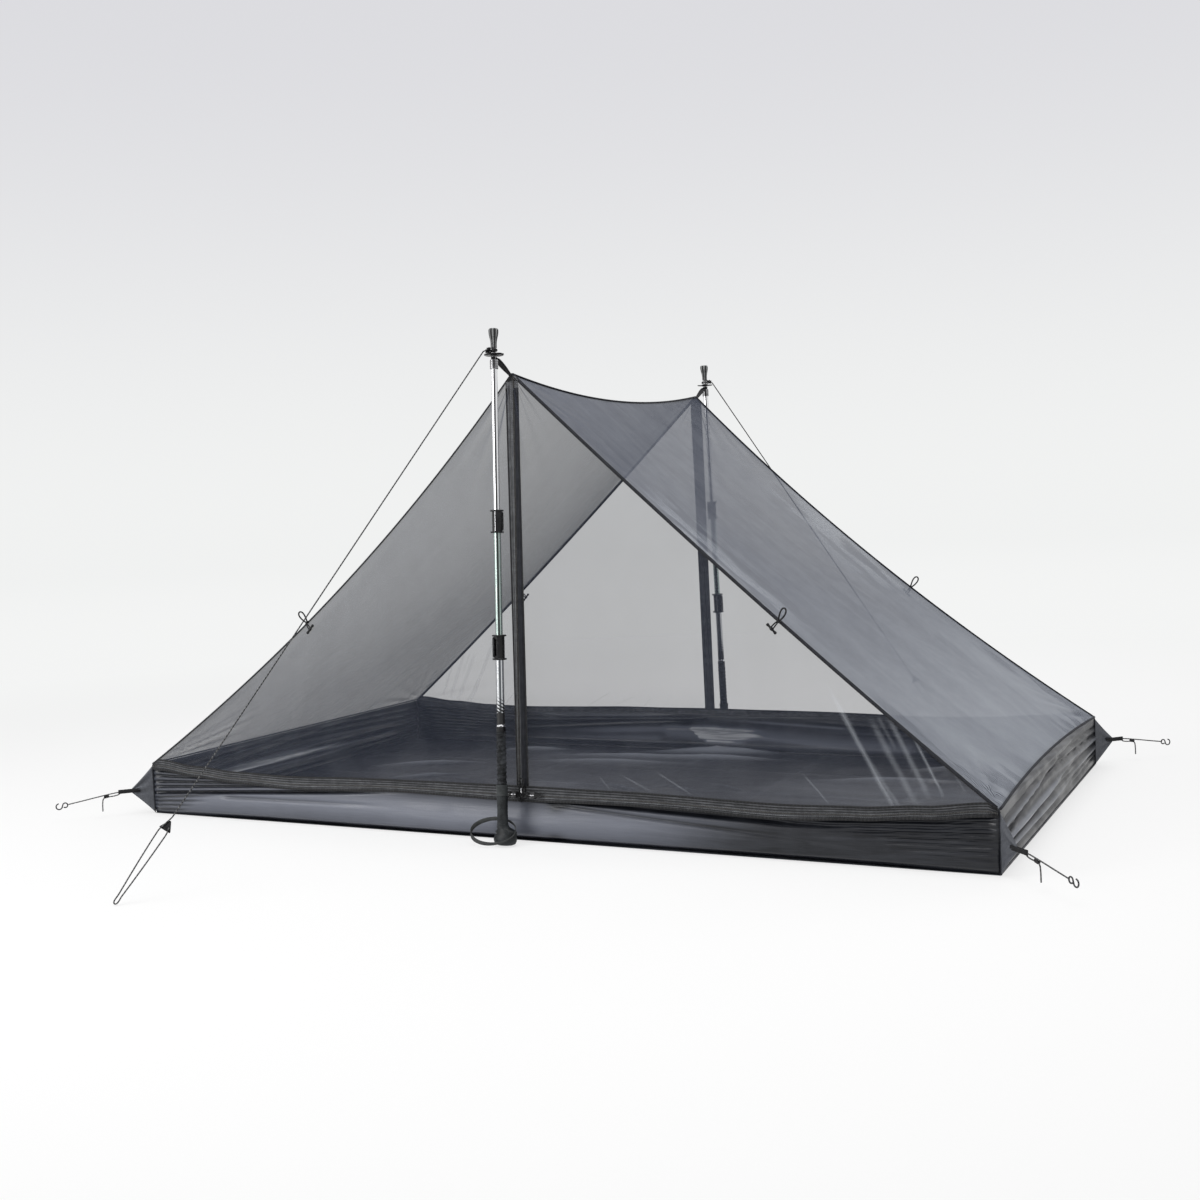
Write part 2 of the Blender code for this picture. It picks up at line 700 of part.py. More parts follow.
def make_peak_strap(name, side_frame):
    """The webbing that ties a peak to its pole, with the pole's neck through its end."""
    seat = NECK_BASE + TOUCH_GAP + PEAK_STRAP_THICKNESS / 2
    half = PEAK_STRAP_WIDTH / 2
    end = on_face(0, PEAK_HEIGHT - 0.010, CLOTH / 2 + TOUCH_GAP + PEAK_STRAP_THICKNESS / 4)
    path = [pole_point(seat, y=-half - 0.002), pole_point(seat, y=-half / 3),
            pole_point(seat, y=half / 3), pole_point(seat, y=half + 0.003),
            pole_point(seat, y=half + 0.007) + Vector((0, 0, -0.0015)), end]
    rows = [[point + Vector((-half, 0, 0)), point, point + Vector((half, 0, 0))] for point in path]
    strap = cloth_grid(name, rows, webbing_material(), PEAK_STRAP_THICKNESS, side_frame)
    cutter = turned("neck_hole" + name[-6:], [(NECK_RADIUS + SLIDE_FIT, seat - 0.01),
                                            (NECK_RADIUS + SLIDE_FIT, seat + 0.01)], webbing_material())
    cutter.parent = side_frame
    cutter.location = (0, POLE_FOOT_Y, POLE_LIFT)
    cutter.rotation_euler = (-POLE_ANGLE, 0, 0)
    cutter.hide_render = True
    cutter.display_type = "WIRE"
    hole = strap.modifiers.new("neck hole", "BOOLEAN")
    hole.operation = "DIFFERENCE"
    hole.solver = "EXACT"
    hole.object = cutter


def guy_frame():
    """Start over the basket's rim, foot on the ground, and the guy line's own directions."""
    foot = Vector((GUY_FOOT_X, GUY_FOOT_Y, 2 * CORD_RADIUS))
    centre = pole_point(BASKET_BASE + BASKET_HEIGHT + KNOT_SPACE / 2)
    heading = Vector((foot.x - centre.x, foot.y - centre.y, 0)).normalized()
    return centre, foot, heading


def make_guy(line_name, tensioner_name, side_frame):
    """The guy line: a turn round the pole's neck, over the basket, down to its foot and back up."""
    centre, foot, heading = guy_frame()
    turn_radius = NECK_RADIUS + CORD_RADIUS + TOUCH_GAP
    leave = math.atan2(-heading.x, heading.y)
    knots = []
    for step in range(9):
        angle = leave - math.radians(300) * (8 - step) / 8
        knots.append(centre + Vector((math.cos(angle), math.sin(angle), 0)) * turn_radius)
    rim = BASKET_RADIUS + CORD_RADIUS
    side_step = Vector((math.cos(leave), math.sin(leave), 0)) * turn_radius
    over = centre + heading * (rim - 0.003) + side_step * 0.5
    bend = centre + heading * (rim + 0.0035) + side_step * 0.3 + Vector((0, 0, -0.0045))
    knots += [over, bend]
    along = (foot - bend).normalized()
    across = along.cross(Vector((0, 0, 1))).normalized()
    out = across.cross(along).normalized()
    if out.z < 0:
        out = -out
    plate = foot - along * GUY_TAIL
    half = TENSIONER_SIDE / 2
    depth = TENSIONER_SIDE * 0.8
    knots += [
        plate - along * 0.010,
        plate + along * depth * 0.5 + across * half * 0.35,
        plate + along * (depth + 0.008) + across * half * 0.66,
        foot - along * 0.020 + across * GUY_LOOP_HALF,
        foot,
        foot - along * 0.020 - across * GUY_LOOP_HALF,
        plate + along * (depth + 0.008) - across * half * 0.66,
        plate + along * depth * 0.6 - across * half * 0.45,
    ]
    spans = [1] * 8 + [2, 3, 24, 3, 3, 5, 4, 4, 5, 3]
    tube(line_name, smooth_route(knots, spans), CORD_RADIUS, cord_material(), side_frame)
    sink = out * (CORD_RADIUS + TENSIONER_THICKNESS / 2 + TOUCH_GAP)
    bevel = TENSIONER_SIDE * 0.12
    outline = []
    for corner, before, after in triangle_corners(plate, along, across, half, depth):
        outline.append(corner + (before - corner).normalized() * bevel - sink)
        outline.append(corner + (after - corner).normalized() * bevel - sink)
    extruded(tensioner_name, outline, TENSIONER_THICKNESS, lever_material(), side_frame)


def triangle_corners(plate, along, across, half, depth):
    corners = [plate, plate + along * depth + across * half, plate + along * depth - across * half]
    return [(corners[turn], corners[turn - 1], corners[(turn + 1) % 3]) for turn in range(3)]


def corner_frame(name, hand, side_frame):
    """An empty on the floor's corner with X pointing out along the diagonal."""
    angle = math.atan2(-1, hand)
    return add_empty("corner_frame_" + name, (hand * HALF_LENGTH, -HALF_WIDTH, 0), (0, 0, angle), side_frame)


def make_corner(name, hand, side_frame):
    """The corner tab with its webbing, the cord that it holds and the hook on the cord's end."""
    frame = corner_frame(name, hand, side_frame)
    seat = TOUCH_GAP
    middle = WALL_HEIGHT / 2
    end = TAB_REACH + WEBBING_LENGTH
    outline = [(seat, 0, 0.002), (TAB_REACH, 0, middle - WEBBING_HALF_HEIGHT),
               (end, 0, middle - WEBBING_HALF_HEIGHT), (end, 0, middle + WEBBING_HALF_HEIGHT),
               (TAB_REACH, 0, middle + WEBBING_HALF_HEIGHT), (seat, 0, WALL_HEIGHT - 0.002)]
    extruded("corner_tab_" + name, outline, TAB_THICKNESS, wall_material(), frame)
    start = Vector((end + TOUCH_GAP + CORD_RADIUS, 0, middle))
    finish = Vector((start.x + CORNER_CORD_REACH, 0, middle - CORNER_CORD_DROP))
    slope = (finish - start).normalized()
    under = Vector((0, 0, -CORNER_STRAND_GAP))
    split = start + slope * CORNER_TAIL_START + under
    knots = [finish, finish - slope * 0.02, start + slope * 0.008, start + under * 0.5,
             start + slope * 0.008 + under, split, split + Vector((0.004, 0, -0.010)),
             split + Vector((0.005, 0, -CORNER_TAIL_DROP))]
    spans = [4, 18, 4, 4, 7, 3, 5]
    tube("corner_cord_" + name, smooth_route(knots, spans), CORD_RADIUS, cord_material(), frame)
    make_hook("corner_hook_" + name, finish + slope * TOUCH_GAP, slope, frame)


def make_hook(name, start, slope, frame):
    """A bent wire hook: an eye for the cord, a waist and an open bend beyond it."""
    up = Vector((-slope.z, 0, slope.x))
    eye = start + slope * (HOOK_WIRE + HOOK_EYE)
    bend = eye + slope * (HOOK_EYE + HOOK_BEND + HOOK_WIRE)
    points = []
    for step in range(13):
        angle = math.radians(-40 - 290 * step / 12)
        points.append(eye + (slope * math.cos(angle) + up * math.sin(angle)) * HOOK_EYE)
    for step in range(12):
        angle = math.radians(205 + 250 * step / 11)
        points.append(bend + (slope * math.cos(angle) + up * math.sin(angle)) * HOOK_BEND)
    tube(name, points, HOOK_WIRE, hook_material(), frame, 1)


def make_pole(side, side_frame, upper_start, lower_start):
    axis = pole_frame(side, side_frame)
    make_grip("grip_" + side, axis)
    make_tube_section("grip_section_" + side, axis, UPPER_RADIUS, MIDDLE_RADIUS + SLIDE_FIT,
                      GRIP_FLOOR + TOUCH_GAP, LOWER_LOCK_BASE, LOWER_LOCK_LENGTH,
                      upper_tube_material(), BAND_LENGTH)
    make_lever("lower_lever_" + side, axis, UPPER_RADIUS, LOWER_LOCK_BASE, LOWER_LOCK_LENGTH, lower_start)
    lower_end = LOWER_LOCK_BASE + LOWER_LOCK_LENGTH - MIDDLE_OVERLAP
    make_tube_section("middle_section_" + side, axis, MIDDLE_RADIUS, TIP_RADIUS + SLIDE_FIT,
                      lower_end, UPPER_LOCK_BASE, UPPER_LOCK_LENGTH, middle_tube_material())
    make_lever("upper_lever_" + side, axis, MIDDLE_RADIUS, UPPER_LOCK_BASE, UPPER_LOCK_LENGTH, upper_start)
    make_tip_section("tip_section_" + side, axis)
    make_basket("basket_" + side, axis)
    make_tip_cover("tip_cover_" + side, axis)
    make_wrist_strap("wrist_strap_" + side, axis)


def make_side(side, turn, left, right):
    """All that one side has: its wall, door, seams, pole, straps, guy line and two corners."""
    frame = add_empty(side + "_frame", rotation=(0, 0, turn))
    make_long_wall("wall_" + side, frame)
    make_base_zip("base_zip_" + side, frame)
    make_slider("zip_slider_" + side, frame)
    for label, hand in ((left, -1), (right, 1)):
        place = side + "_" + label
        make_seam("seam_" + place, hand, frame)
        make_leaf("door_" + place, hand, frame)
        make_zip_tape("zip_tape_" + place, hand, frame)
        make_corner(place, hand, frame)
    make_pole(side, frame, math.radians(-75), math.radians(105))
    make_peak_strap("peak_strap_" + side, frame)
    make_guy("guy_line_" + side, "guy_tensioner_" + side, frame)


def main():
    remove_everything()
    make_floor()
    for label, hand in (("left", -1), ("right", 1)):
        make_end_wall("wall_" + label, hand)
        make_end_panel("end_panel_" + label, hand)
    make_ridge_tape()
    make_side("front", 0.0, "left", "right")
    make_side("rear", math.pi, "right", "left")


main()
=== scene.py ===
"""Looks for the two-person inner tent: mesh and coated cloth, zips, bindings, cords and two trekking poles.

Metres, in the frame of the solids. The rear half is the front half turned half a turn about Z.
"""
from math import atan, atan2, cos, exp, hypot, pi, radians, sin, tau

import bpy
from mathutils import Matrix, Vector, noise


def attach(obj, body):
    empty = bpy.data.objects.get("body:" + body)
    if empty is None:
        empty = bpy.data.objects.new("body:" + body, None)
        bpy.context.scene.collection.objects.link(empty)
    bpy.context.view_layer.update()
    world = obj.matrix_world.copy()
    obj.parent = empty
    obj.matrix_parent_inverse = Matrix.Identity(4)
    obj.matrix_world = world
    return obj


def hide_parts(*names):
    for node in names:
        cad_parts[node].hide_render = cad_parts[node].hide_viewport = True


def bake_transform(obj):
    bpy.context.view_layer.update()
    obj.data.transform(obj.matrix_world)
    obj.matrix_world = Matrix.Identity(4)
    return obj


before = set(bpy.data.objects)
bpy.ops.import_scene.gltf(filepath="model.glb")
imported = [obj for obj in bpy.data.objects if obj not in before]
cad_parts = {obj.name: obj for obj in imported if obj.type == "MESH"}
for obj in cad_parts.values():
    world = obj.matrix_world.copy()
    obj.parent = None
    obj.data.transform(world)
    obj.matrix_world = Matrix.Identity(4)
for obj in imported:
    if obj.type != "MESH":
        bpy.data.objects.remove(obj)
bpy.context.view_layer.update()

# Camera, solved from the floor corners, wall tops, peaks and pole ends
CAMERA_PLACE = (1.6978, -3.4735, 0.7512)
CAMERA_LENS = 43.701
CAMERA_SENSOR = 36.0
CAMERA_YAW = radians(26.9956)
CAMERA_PITCH = radians(3.5736)
CAMERA_ROLL = radians(-2.4566)

# Outline of the pitched tent, as in the solids
HALF_LENGTH = 1.10
HALF_WIDTH = 0.62
HALF_RIDGE = 0.54
FLOOR_CLOTH = 0.0015
CLOTH_FOOT = FLOOR_CLOTH * 0.6
WALL_HEIGHT = 0.130
PEAK_HEIGHT = 1.070
RIDGE_SAG = 0.038
SEAM_SAG = 0.029
SEAM_PULL = 0.054
PANEL_BILLOW = 0.016
PANEL_SLOPE = 1.44
PANEL_OUT_X = 0.65
PANEL_OUT_Z = 0.76
HINGE_OFFSET = 0.040
FACE_LEAN = (HALF_WIDTH - HALF_RIDGE) / (PEAK_HEIGHT - WALL_HEIGHT)
DOOR_FOOT_SHARE = 0.987

# Zips
ZIP_TOP_SHIFT = 0.006
ZIP_FOOT_SHIFT = 0.019
ZIP_NARROW = 0.008
ZIP_WIDE = 0.023
ZIP_LEFT_TOP = -0.0165
ZIP_RIGHT_TOP = 0.0165
SLIDER_PLACE = 0.0290
WALL_UNDER_BAND = 0.012
# Lower and upper edge of the base zip, by distance from the tent's middle
BAND_LINE = ((0.0, 0.0925, 0.1268), (0.30, 0.0970, 0.1252), (0.64, 0.0876, 0.1188), (0.82, 0.0945, 0.1218),
             (0.95, 0.1040, 0.1305), (1.08, 0.1170, 0.1435), (1.10, 0.1195, 0.1450))
COIL_RADIUS = 0.0016
COIL_PITCH = 0.0030

# Poles, lengths from the foot on the ground, as in the solids
POLE_FOOT_Y = -0.6765
POLE_HEAD_OFFSET = 0.0763
NECK_BASE = 1.098
POLE_LEAN = (-POLE_FOOT_Y - HALF_RIDGE - POLE_HEAD_OFFSET) / NECK_BASE
POLE_ANGLE = atan(POLE_LEAN)
POMMEL_HALF_DEPTH = 0.0200
POLE_LIFT = POMMEL_HALF_DEPTH * sin(POLE_ANGLE)
POMMEL_HALF_LENGTH = 0.0285
POMMEL_SHIFT = 0.0060
POMMEL_LIP = 0.0357
POMMEL_FLOOR = 0.013
GRIP_BORE = 0.0100
TUBE_WALL = 0.0006
HANDLE_FOOT = 0.044
HANDLE_TOP = 0.112
COLLAR_TOP = 0.137
GRIP_LENGTH = 0.257
FOAM_RIBS = 11
BAND_TOP = 0.273
BLACK_TOP = 0.300
STRIPES_TOP = 0.336
STRIPE_PITCH = 0.0080
STRIPES_AROUND = 4.0
LOWER_LOCK_BASE = 0.420
LOWER_LOCK_LENGTH = 0.0566
UPPER_LOCK_BASE = 0.707
UPPER_LOCK_LENGTH = 0.052
MIDDLE_TUBE_FOOT = LOWER_LOCK_BASE + LOWER_LOCK_LENGTH - 0.240
TIP_TUBE_FOOT = 0.557
LOCK_FLANGE = 0.0034
LOCK_WALL = 0.0030
LEVER_THICKNESS = 0.0040
LEVER_GAP = 0.0004
LEVER_SWEEP = radians(150)
LOWER_LEVER_START = radians(105)
UPPER_LEVER_START = radians(-75)
FERRULE_BASE = 1.0765
BASKET_BASE = 1.1058
BASKET_HEIGHT = 0.0064
KNOT_SPACE = 0.0115
NECK_WRAP = 300
COVER_BASE = 1.1237
COVER_LENGTH = 0.0445
COVER_RIBS = 8.0
TIP_RADIUS = 0.0070
MIDDLE_RADIUS = 0.0080
UPPER_RADIUS = 0.0090
FERRULE_RADIUS = 0.0095
NECK_RADIUS = 0.0048
BASKET_RADIUS = 0.0225
COVER_FOOT_RADIUS = 0.0070
COVER_TOP_RADIUS = 0.0113
GRIP_RADIUS = 0.0112
HANDLE_RADIUS = 0.0130

# Wrist strap, as in the solids
STRAP_LENGTH = 0.1150
STRAP_FRONT = 0.0320
STRAP_BACK = 0.0200
STRAP_RISE = 0.0490
STRAP_HALF_HEIGHT = 0.0050
STRAP_END_HALF_HEIGHT = 0.0012
STRAP_HINGE_INSET = 0.0003

# Guy lines and corner cords, as in the solids
CORD_RADIUS = 0.0015
GUY_FOOT_X = -0.50
GUY_FOOT_Y = -1.36
GUY_TAIL = 0.195
TENSIONER_SIDE = 0.030
TENSIONER_THICKNESS = 0.0025
GUY_LOOP_HALF = 0.004
GUY_TWIST = 50.0
TOUCH_GAP = 0.0003
TAB_REACH = 0.055
WEBBING_LENGTH = 0.030
WEBBING_HALF_HEIGHT = 0.006
CORNER_CORD_REACH = 0.128
CORNER_CORD_DROP = 0.020
CORNER_TAIL_START = 0.040
CORNER_TAIL_DROP = 0.034
CORNER_STRAND_GAP = 0.0070
HOOK_WIRE = 0.0016
HOOK_EYE = 0.0060
HOOK_BEND = 0.0075

# Place of the toggle that holds an open door, as a share of the seam from the peak down
TOGGLE_SHARE = 0.588

# Thickness of the soft pieces
CLOTH_THICKNESS = 0.0006
TAPE_THICKNESS = 0.0010
TAB_THICKNESS = 0.0008

# Lengths of the cords
CORNER_LINE_LENGTH = 0.135
CORNER_TAIL_LENGTH = 0.08

# How far in from its hinge line a door leaf has turned in full
DOOR_BEND = 0.12
# Corner distance of mesh that carries no pulled lines
OUT_OF_REACH = 9.0

SIDE_TURNS = {"front": Matrix.Identity(4), "rear": Matrix.Rotation(pi, 4, "Z")}
SIDE_HANDS = {"front": (("left", -1), ("right", 1)), "rear": (("right", -1), ("left", 1))}
UP = Vector((0, 0, 1))
OUT_OF_DOOR = Vector((0, -1, FACE_LEAN)).normalized()


# Nodes and shared effects

def connect(tree, inputs, sockets):
    """Each named or numbered input takes a value or another node's output."""
    for key, value in dict(sockets).items():
        if isinstance(value, bpy.types.NodeSocket):
            tree.links.new(value, inputs[key])
        else:
            inputs[key].default_value = value


def put(tree, kind, sockets=(), **settings):
    """Adds a node with its settings and inputs."""
    made = tree.nodes.new("ShaderNode" + kind)
    for key, value in settings.items():
        setattr(made, key, value)
    connect(tree, made.inputs, sockets)
    return made


def maths(tree, operation, *values, clamp=False):
    return put(tree, "Math", enumerate(values), operation=operation, use_clamp=clamp).outputs[0]


def times(tree, first, second, clamp=False):
    return maths(tree, "MULTIPLY", first, second, clamp=clamp)


def plus(tree, first, second, clamp=False):
    return maths(tree, "ADD", first, second, clamp=clamp)


def minus(tree, first, second):
    return maths(tree, "SUBTRACT", first, second)


def laid_on(tree, tone, mark, amount, clamp=False):
    """A tone with some of a mark added."""
    return plus(tree, tone, times(tree, mark, amount), clamp)


def vectors(tree, operation, *values):
    return put(tree, "VectorMath", enumerate(values), operation=operation).outputs


def axes(tree, vector):
    return put(tree, "SeparateXYZ", {0: vector}).outputs


def spread(tree, place, along, across):
    """The first two coordinates of a place, scaled."""
    scaled = {0: times(tree, place[0], along), 1: times(tree, place[1], across)}
    return put(tree, "CombineXYZ", scaled).outputs[0]


def mottle(tree, at, scale, detail, **more):
    return put(tree, "TexNoise", {"Vector": at, "Scale": scale, "Detail": detail, **more}).outputs[0]


def turns(tree, place, pitch, count=1):
    """Angle of a pattern that comes round at every pitch."""
    return times(tree, maths(tree, "DIVIDE", place, pitch), count * tau)


def between(tree, amount, first, second):
    """A colour between two others, each given as three numbers or another node's output."""
    first, second = ((*colour, 1) if isinstance(colour, tuple) else colour for colour in (first, second))
    return put(tree, "Mix", {0: amount, 6: first, 7: second}, data_type="RGBA").outputs[2]


def stepped(tree, value, low, high, out_low=0.0, out_high=1.0):
    sockets = {0: value, 1: low, 2: high, 3: out_low, 4: out_high}
    return put(tree, "MapRange", sockets, interpolation_type="SMOOTHSTEP").outputs[0]


def made_at(tree, kept="made_at"):
    """Each piece's own coordinates: along, across and around it as it was made, or from its corner."""
    return put(tree, "Attribute", attribute_name=kept).outputs["Vector"]


def new_group(name, takes, *gives):
    """A shared effect. An input with None takes a vector, the others and all outputs are numbers."""
    tree = bpy.data.node_groups.new(name, "ShaderNodeTree")
    for title, value in takes.items():
        kind = "NodeSocketVector" if value is None else "NodeSocketFloat"
        socket = tree.interface.new_socket(name=title, in_out="INPUT", socket_type=kind)
        if value is not None:
            socket.default_value = value
    for title in gives:
        tree.interface.new_socket(name=title, in_out="OUTPUT", socket_type="NodeSocketFloat")
    return tree, tree.nodes.new("NodeGroupInput").outputs, tree.nodes.new("NodeGroupOutput").inputs


def use_group(tree, group, sockets):
    return put(tree, "Group", sockets, node_tree=group).outputs


def woven_threads():
    """Crossed threads: their height, and a mask of the gaps between them."""
    tree, enter, leave = new_group("woven threads", {"At": None, "Pitch": 0.001}, "Height", "Gaps")
    half_turns = maths(tree, "DIVIDE", pi, enter["Pitch"])
    warp, weft = (maths(tree, "ABSOLUTE", maths(tree, "SINE", times(tree, part, half_turns)))
                  for part in axes(tree, enter["At"])[:2])
    gaps = minus(tree, 1.0, times(tree, warp, weft))
    connect(tree, leave, {"Height": maths(tree, "MAXIMUM", warp, weft), "Gaps": gaps})
    return tree


def cloth_creases():
    """Long soft creases that run along X of the piece."""
    tree, enter, leave = new_group(
        "cloth creases", {"At": None, "Along": 3.0, "Across": 30.0, "Waver": 0.35}, "Height", "Ridges")
    place = spread(tree, axes(tree, enter["At"]), enter["Along"], enter["Across"])
    folds = mottle(tree, place, 1.0, 3.0, Roughness=0.55, Distortion=enter["Waver"])
    sharp = maths(tree, "ABSOLUTE", minus(tree, folds, 0.5))
    connect(tree, leave, {"Height": folds, "Ridges": stepped(tree, sharp, 0.0, 0.10, 1.0, 0.0)})
    return tree


def wear_and_dust():
    """Uneven patches and fine specks."""
    tree, enter, leave = new_group("wear and dust", {"At": None, "Scale": 20.0}, "Patches", "Specks")
    patches = mottle(tree, enter["At"], enter["Scale"], 5.0, Roughness=0.6)
    specks = mottle(tree, enter["At"], times(tree, enter["Scale"], 14.0), 2.0)
    connect(tree, leave, {"Patches": stepped(tree, patches, 0.35, 0.68),
                          "Specks": stepped(tree, specks, 0.60, 0.72)})
    return tree


def stitch_row():
    """One row of stitches along X, at a given place across the piece."""
    tree, enter, leave = new_group(
        "stitch row", {"At": None, "Pitch": 0.004, "Line": 0.0, "Half Width": 0.0006}, "Thread")
    place = axes(tree, enter["At"])
    dash = stepped(tree, maths(tree, "SINE", turns(tree, place[0], enter["Pitch"])), -0.35, 0.1)
    off = maths(tree, "ABSOLUTE", minus(tree, place[1], enter["Line"]))
    beside = stepped(tree, maths(tree, "DIVIDE", off, enter["Half Width"]), 0.6, 1.2, 1.0, 0.0)
    connect(tree, leave, {"Thread": times(tree, dash, beside)})
    return tree


def braided_cord():
    """Two sets of strands wound round a cord, with pale flecks."""
    tree, enter, leave = new_group(
        "braided cord", {"At": None, "Pitch": 0.004, "Girth": 0.0094}, "Height", "Flecks")
    place = axes(tree, enter["At"])
    along = turns(tree, place[0], enter["Pitch"])
    around = turns(tree, place[1], enter["Girth"], 3)
    right = maths(tree, "SINE", plus(tree, along, around))
    left = maths(tree, "SINE", minus(tree, along, around))
    slow = maths(tree, "SINE", times(tree, along, 0.5))
    flecks = stepped(tree, times(tree, plus(tree, right, slow), 0.5), 0.25, 0.5)
    connect(tree, leave, {"Height": maths(tree, "MAXIMUM", right, left), "Flecks": flecks})
    return tree


def pulled_line():
    """Mask of a line between two points of the cloth, where it is pulled tight; the net material makes it
    denser and paints it pale, as a highlight.
    """
    tree, enter, leave = new_group(
        "pulled line", {"From Corner": None, "Start": None, "End": None, "Half Width": 0.006}, "Line")
    run = vectors(tree, "SUBTRACT", enter["End"], enter["Start"])[0]
    place = vectors(tree, "SUBTRACT", enter["From Corner"], enter["Start"])[0]
    across = vectors(tree, "DOT_PRODUCT", place, run)["Value"]
    whole = vectors(tree, "DOT_PRODUCT", run, run)["Value"]
    share = maths(tree, "DIVIDE", across, whole)
    within = plus(tree, share, 0.0, clamp=True)
    nearest = put(tree, "VectorMath", {0: run, 3: within}, operation="SCALE").outputs[0]
    off = vectors(tree, "DISTANCE", place, nearest)["Value"]
    edge = stepped(tree, maths(tree, "DIVIDE", off, enter["Half Width"]), 0.0, 1.0, 1.0, 0.0)
    ends = times(tree, stepped(tree, share, 0.0, 0.25), stepped(tree, share, 0.80, 1.0, 1.0, 0.35))
    connect(tree, leave, {"Line": times(tree, edge, ends)})
    return tree


def tight_lines():
    """Fine close lines across a turned direction, where the net is stretched beside a seam; the net material
    paints them pale, as highlights.
    """
    tree, enter, leave = new_group("tight lines", {"At": None, "Slope": 0.2, "Pitch": 0.007}, "Lines")
    place = axes(tree, enter["At"])
    off = minus(tree, place[0], times(tree, place[1], enter["Slope"]))
    waver = mottle(tree, spread(tree, place, 14.0, 5.0), 1.0, 2.0)
    wave = maths(tree, "SINE", laid_on(tree, turns(tree, off, enter["Pitch"]), waver, 9.0))
    broken = stepped(tree, waver, 0.42, 0.55)
    connect(tree, leave, {"Lines": times(tree, stepped(tree, wave, 0.1, 0.95), broken)})
    return tree


WOVEN = woven_threads()
CREASES = cloth_creases()
WEAR = wear_and_dust()
STITCHES = stitch_row()
BRAID = braided_cord()
PULLED = pulled_line()
TIGHT = tight_lines()


# Materials

def new_material(name, roughness, metallic=0.0, specular=0.5):
    made = bpy.data.materials.new(name)
    made.use_nodes = True
    finished(made, {"Roughness": roughness, "Metallic": metallic, "Specular IOR Level": specular})
    return made, made.node_tree


def finished(made, sockets):
    """Feeds a material's own shader."""
    connect(made.node_tree, made.node_tree.nodes["Principled BSDF"].inputs, sockets)
    return made


def bump(tree, height, distance, strength, under=None):
    sockets = {"Height": height, "Distance": distance, "Strength": strength}
    if under is not None:
        sockets["Normal"] = under
    return put(tree, "Bump", sockets).outputs[0]


def worn_at(tree, at, scale):
    return use_group(tree, WEAR, {"At": at, "Scale": scale})


def insect_mesh():
    """Fine black net: it thickens as it turns edge-on, and is closer and paler low down; on the end panels
    that paleness is painted light, with painted highlights on folds. Pulled lines, taut crumples and crease
    ridges are painted highlights, dark crumples painted shade.
    """
    made, tree = new_material("insect_mesh", 0.75, specular=0.2)
    at = made_at(tree)
    low = axes(tree, at)[2]
    corner = axes(tree, made_at(tree, "from_corner"))
    flat_corner = put(tree, "CombineXYZ", {0: corner[0], 1: corner[1]}).outputs[0]
    threads = use_group(tree, WOVEN, {"At": at, "Pitch": 0.0016})
    creases = use_group(tree, CREASES, {"At": at, "Along": 5.0, "Across": 1.6, "Waver": 0.5})
    wear = worn_at(tree, at, 22.0)
    pulled = None
    for start, end, half_width, strength in MESH_PULLED_LINES:
        sockets = {"From Corner": flat_corner, "Start": (*start, 0), "End": (*end, 0),
                   "Half Width": half_width}
        line = times(tree, use_group(tree, PULLED, sockets)["Line"], strength)
        pulled = line if pulled is None else maths(tree, "MAXIMUM", pulled, line)
    crumples = times(tree, use_group(tree, TIGHT, {"At": at})["Lines"], corner[2])
    marks = maths(tree, "MAXIMUM", pulled, crumples)
    folds = bump(tree, creases["Height"], 0.006, 0.30)
    facing = put(tree, "LayerWeight", {"Blend": 0.5, "Normal": folds}).outputs["Facing"]
    toward = maths(tree, "MAXIMUM", minus(tree, 1.0, facing), 0.12)
    open_share = stepped(tree, low, 0.0, 1.0, MESH_LETS_THROUGH, MESH_LETS_THROUGH_LOW)
    through = maths(tree, "POWER", open_share, maths(tree, "DIVIDE", 1.0, toward))
    cover = laid_on(tree, minus(tree, 1.0, through), marks, 0.14)
    grain = stepped(tree, threads["Gaps"], 0.0, 1.0, 1.10, 0.92)
    grain = laid_on(tree, grain, wear["Specks"], 0.08)
    # Paleness: painted highlights on crease ridges, real wear patches, paleness low down (painted light and
    # painted fold highlights on the end panels), and painted shade where crumples are dark
    dust = laid_on(tree, times(tree, creases["Ridges"], 0.03), wear["Patches"], 0.03)
    dust = plus(tree, times(tree, times(tree, low, low), MESH_PALE_LOW), dust)
    dust = laid_on(tree, dust, maths(tree, "MINIMUM", crumples, 0.0), 0.85)
    # Pulled lines and taut crumples are painted pale, as highlights
    tone = plus(tree, times(tree, marks, 0.62), dust, clamp=True)
    return finished(made, {
        "Alpha": times(tree, cover, grain, clamp=True),
        "Base Color": between(tree, tone, (0.052, 0.061, 0.090), (0.70, 0.74, 0.80)),
        "Normal": bump(tree, threads["Height"], 0.0002, 0.3, folds),
    })


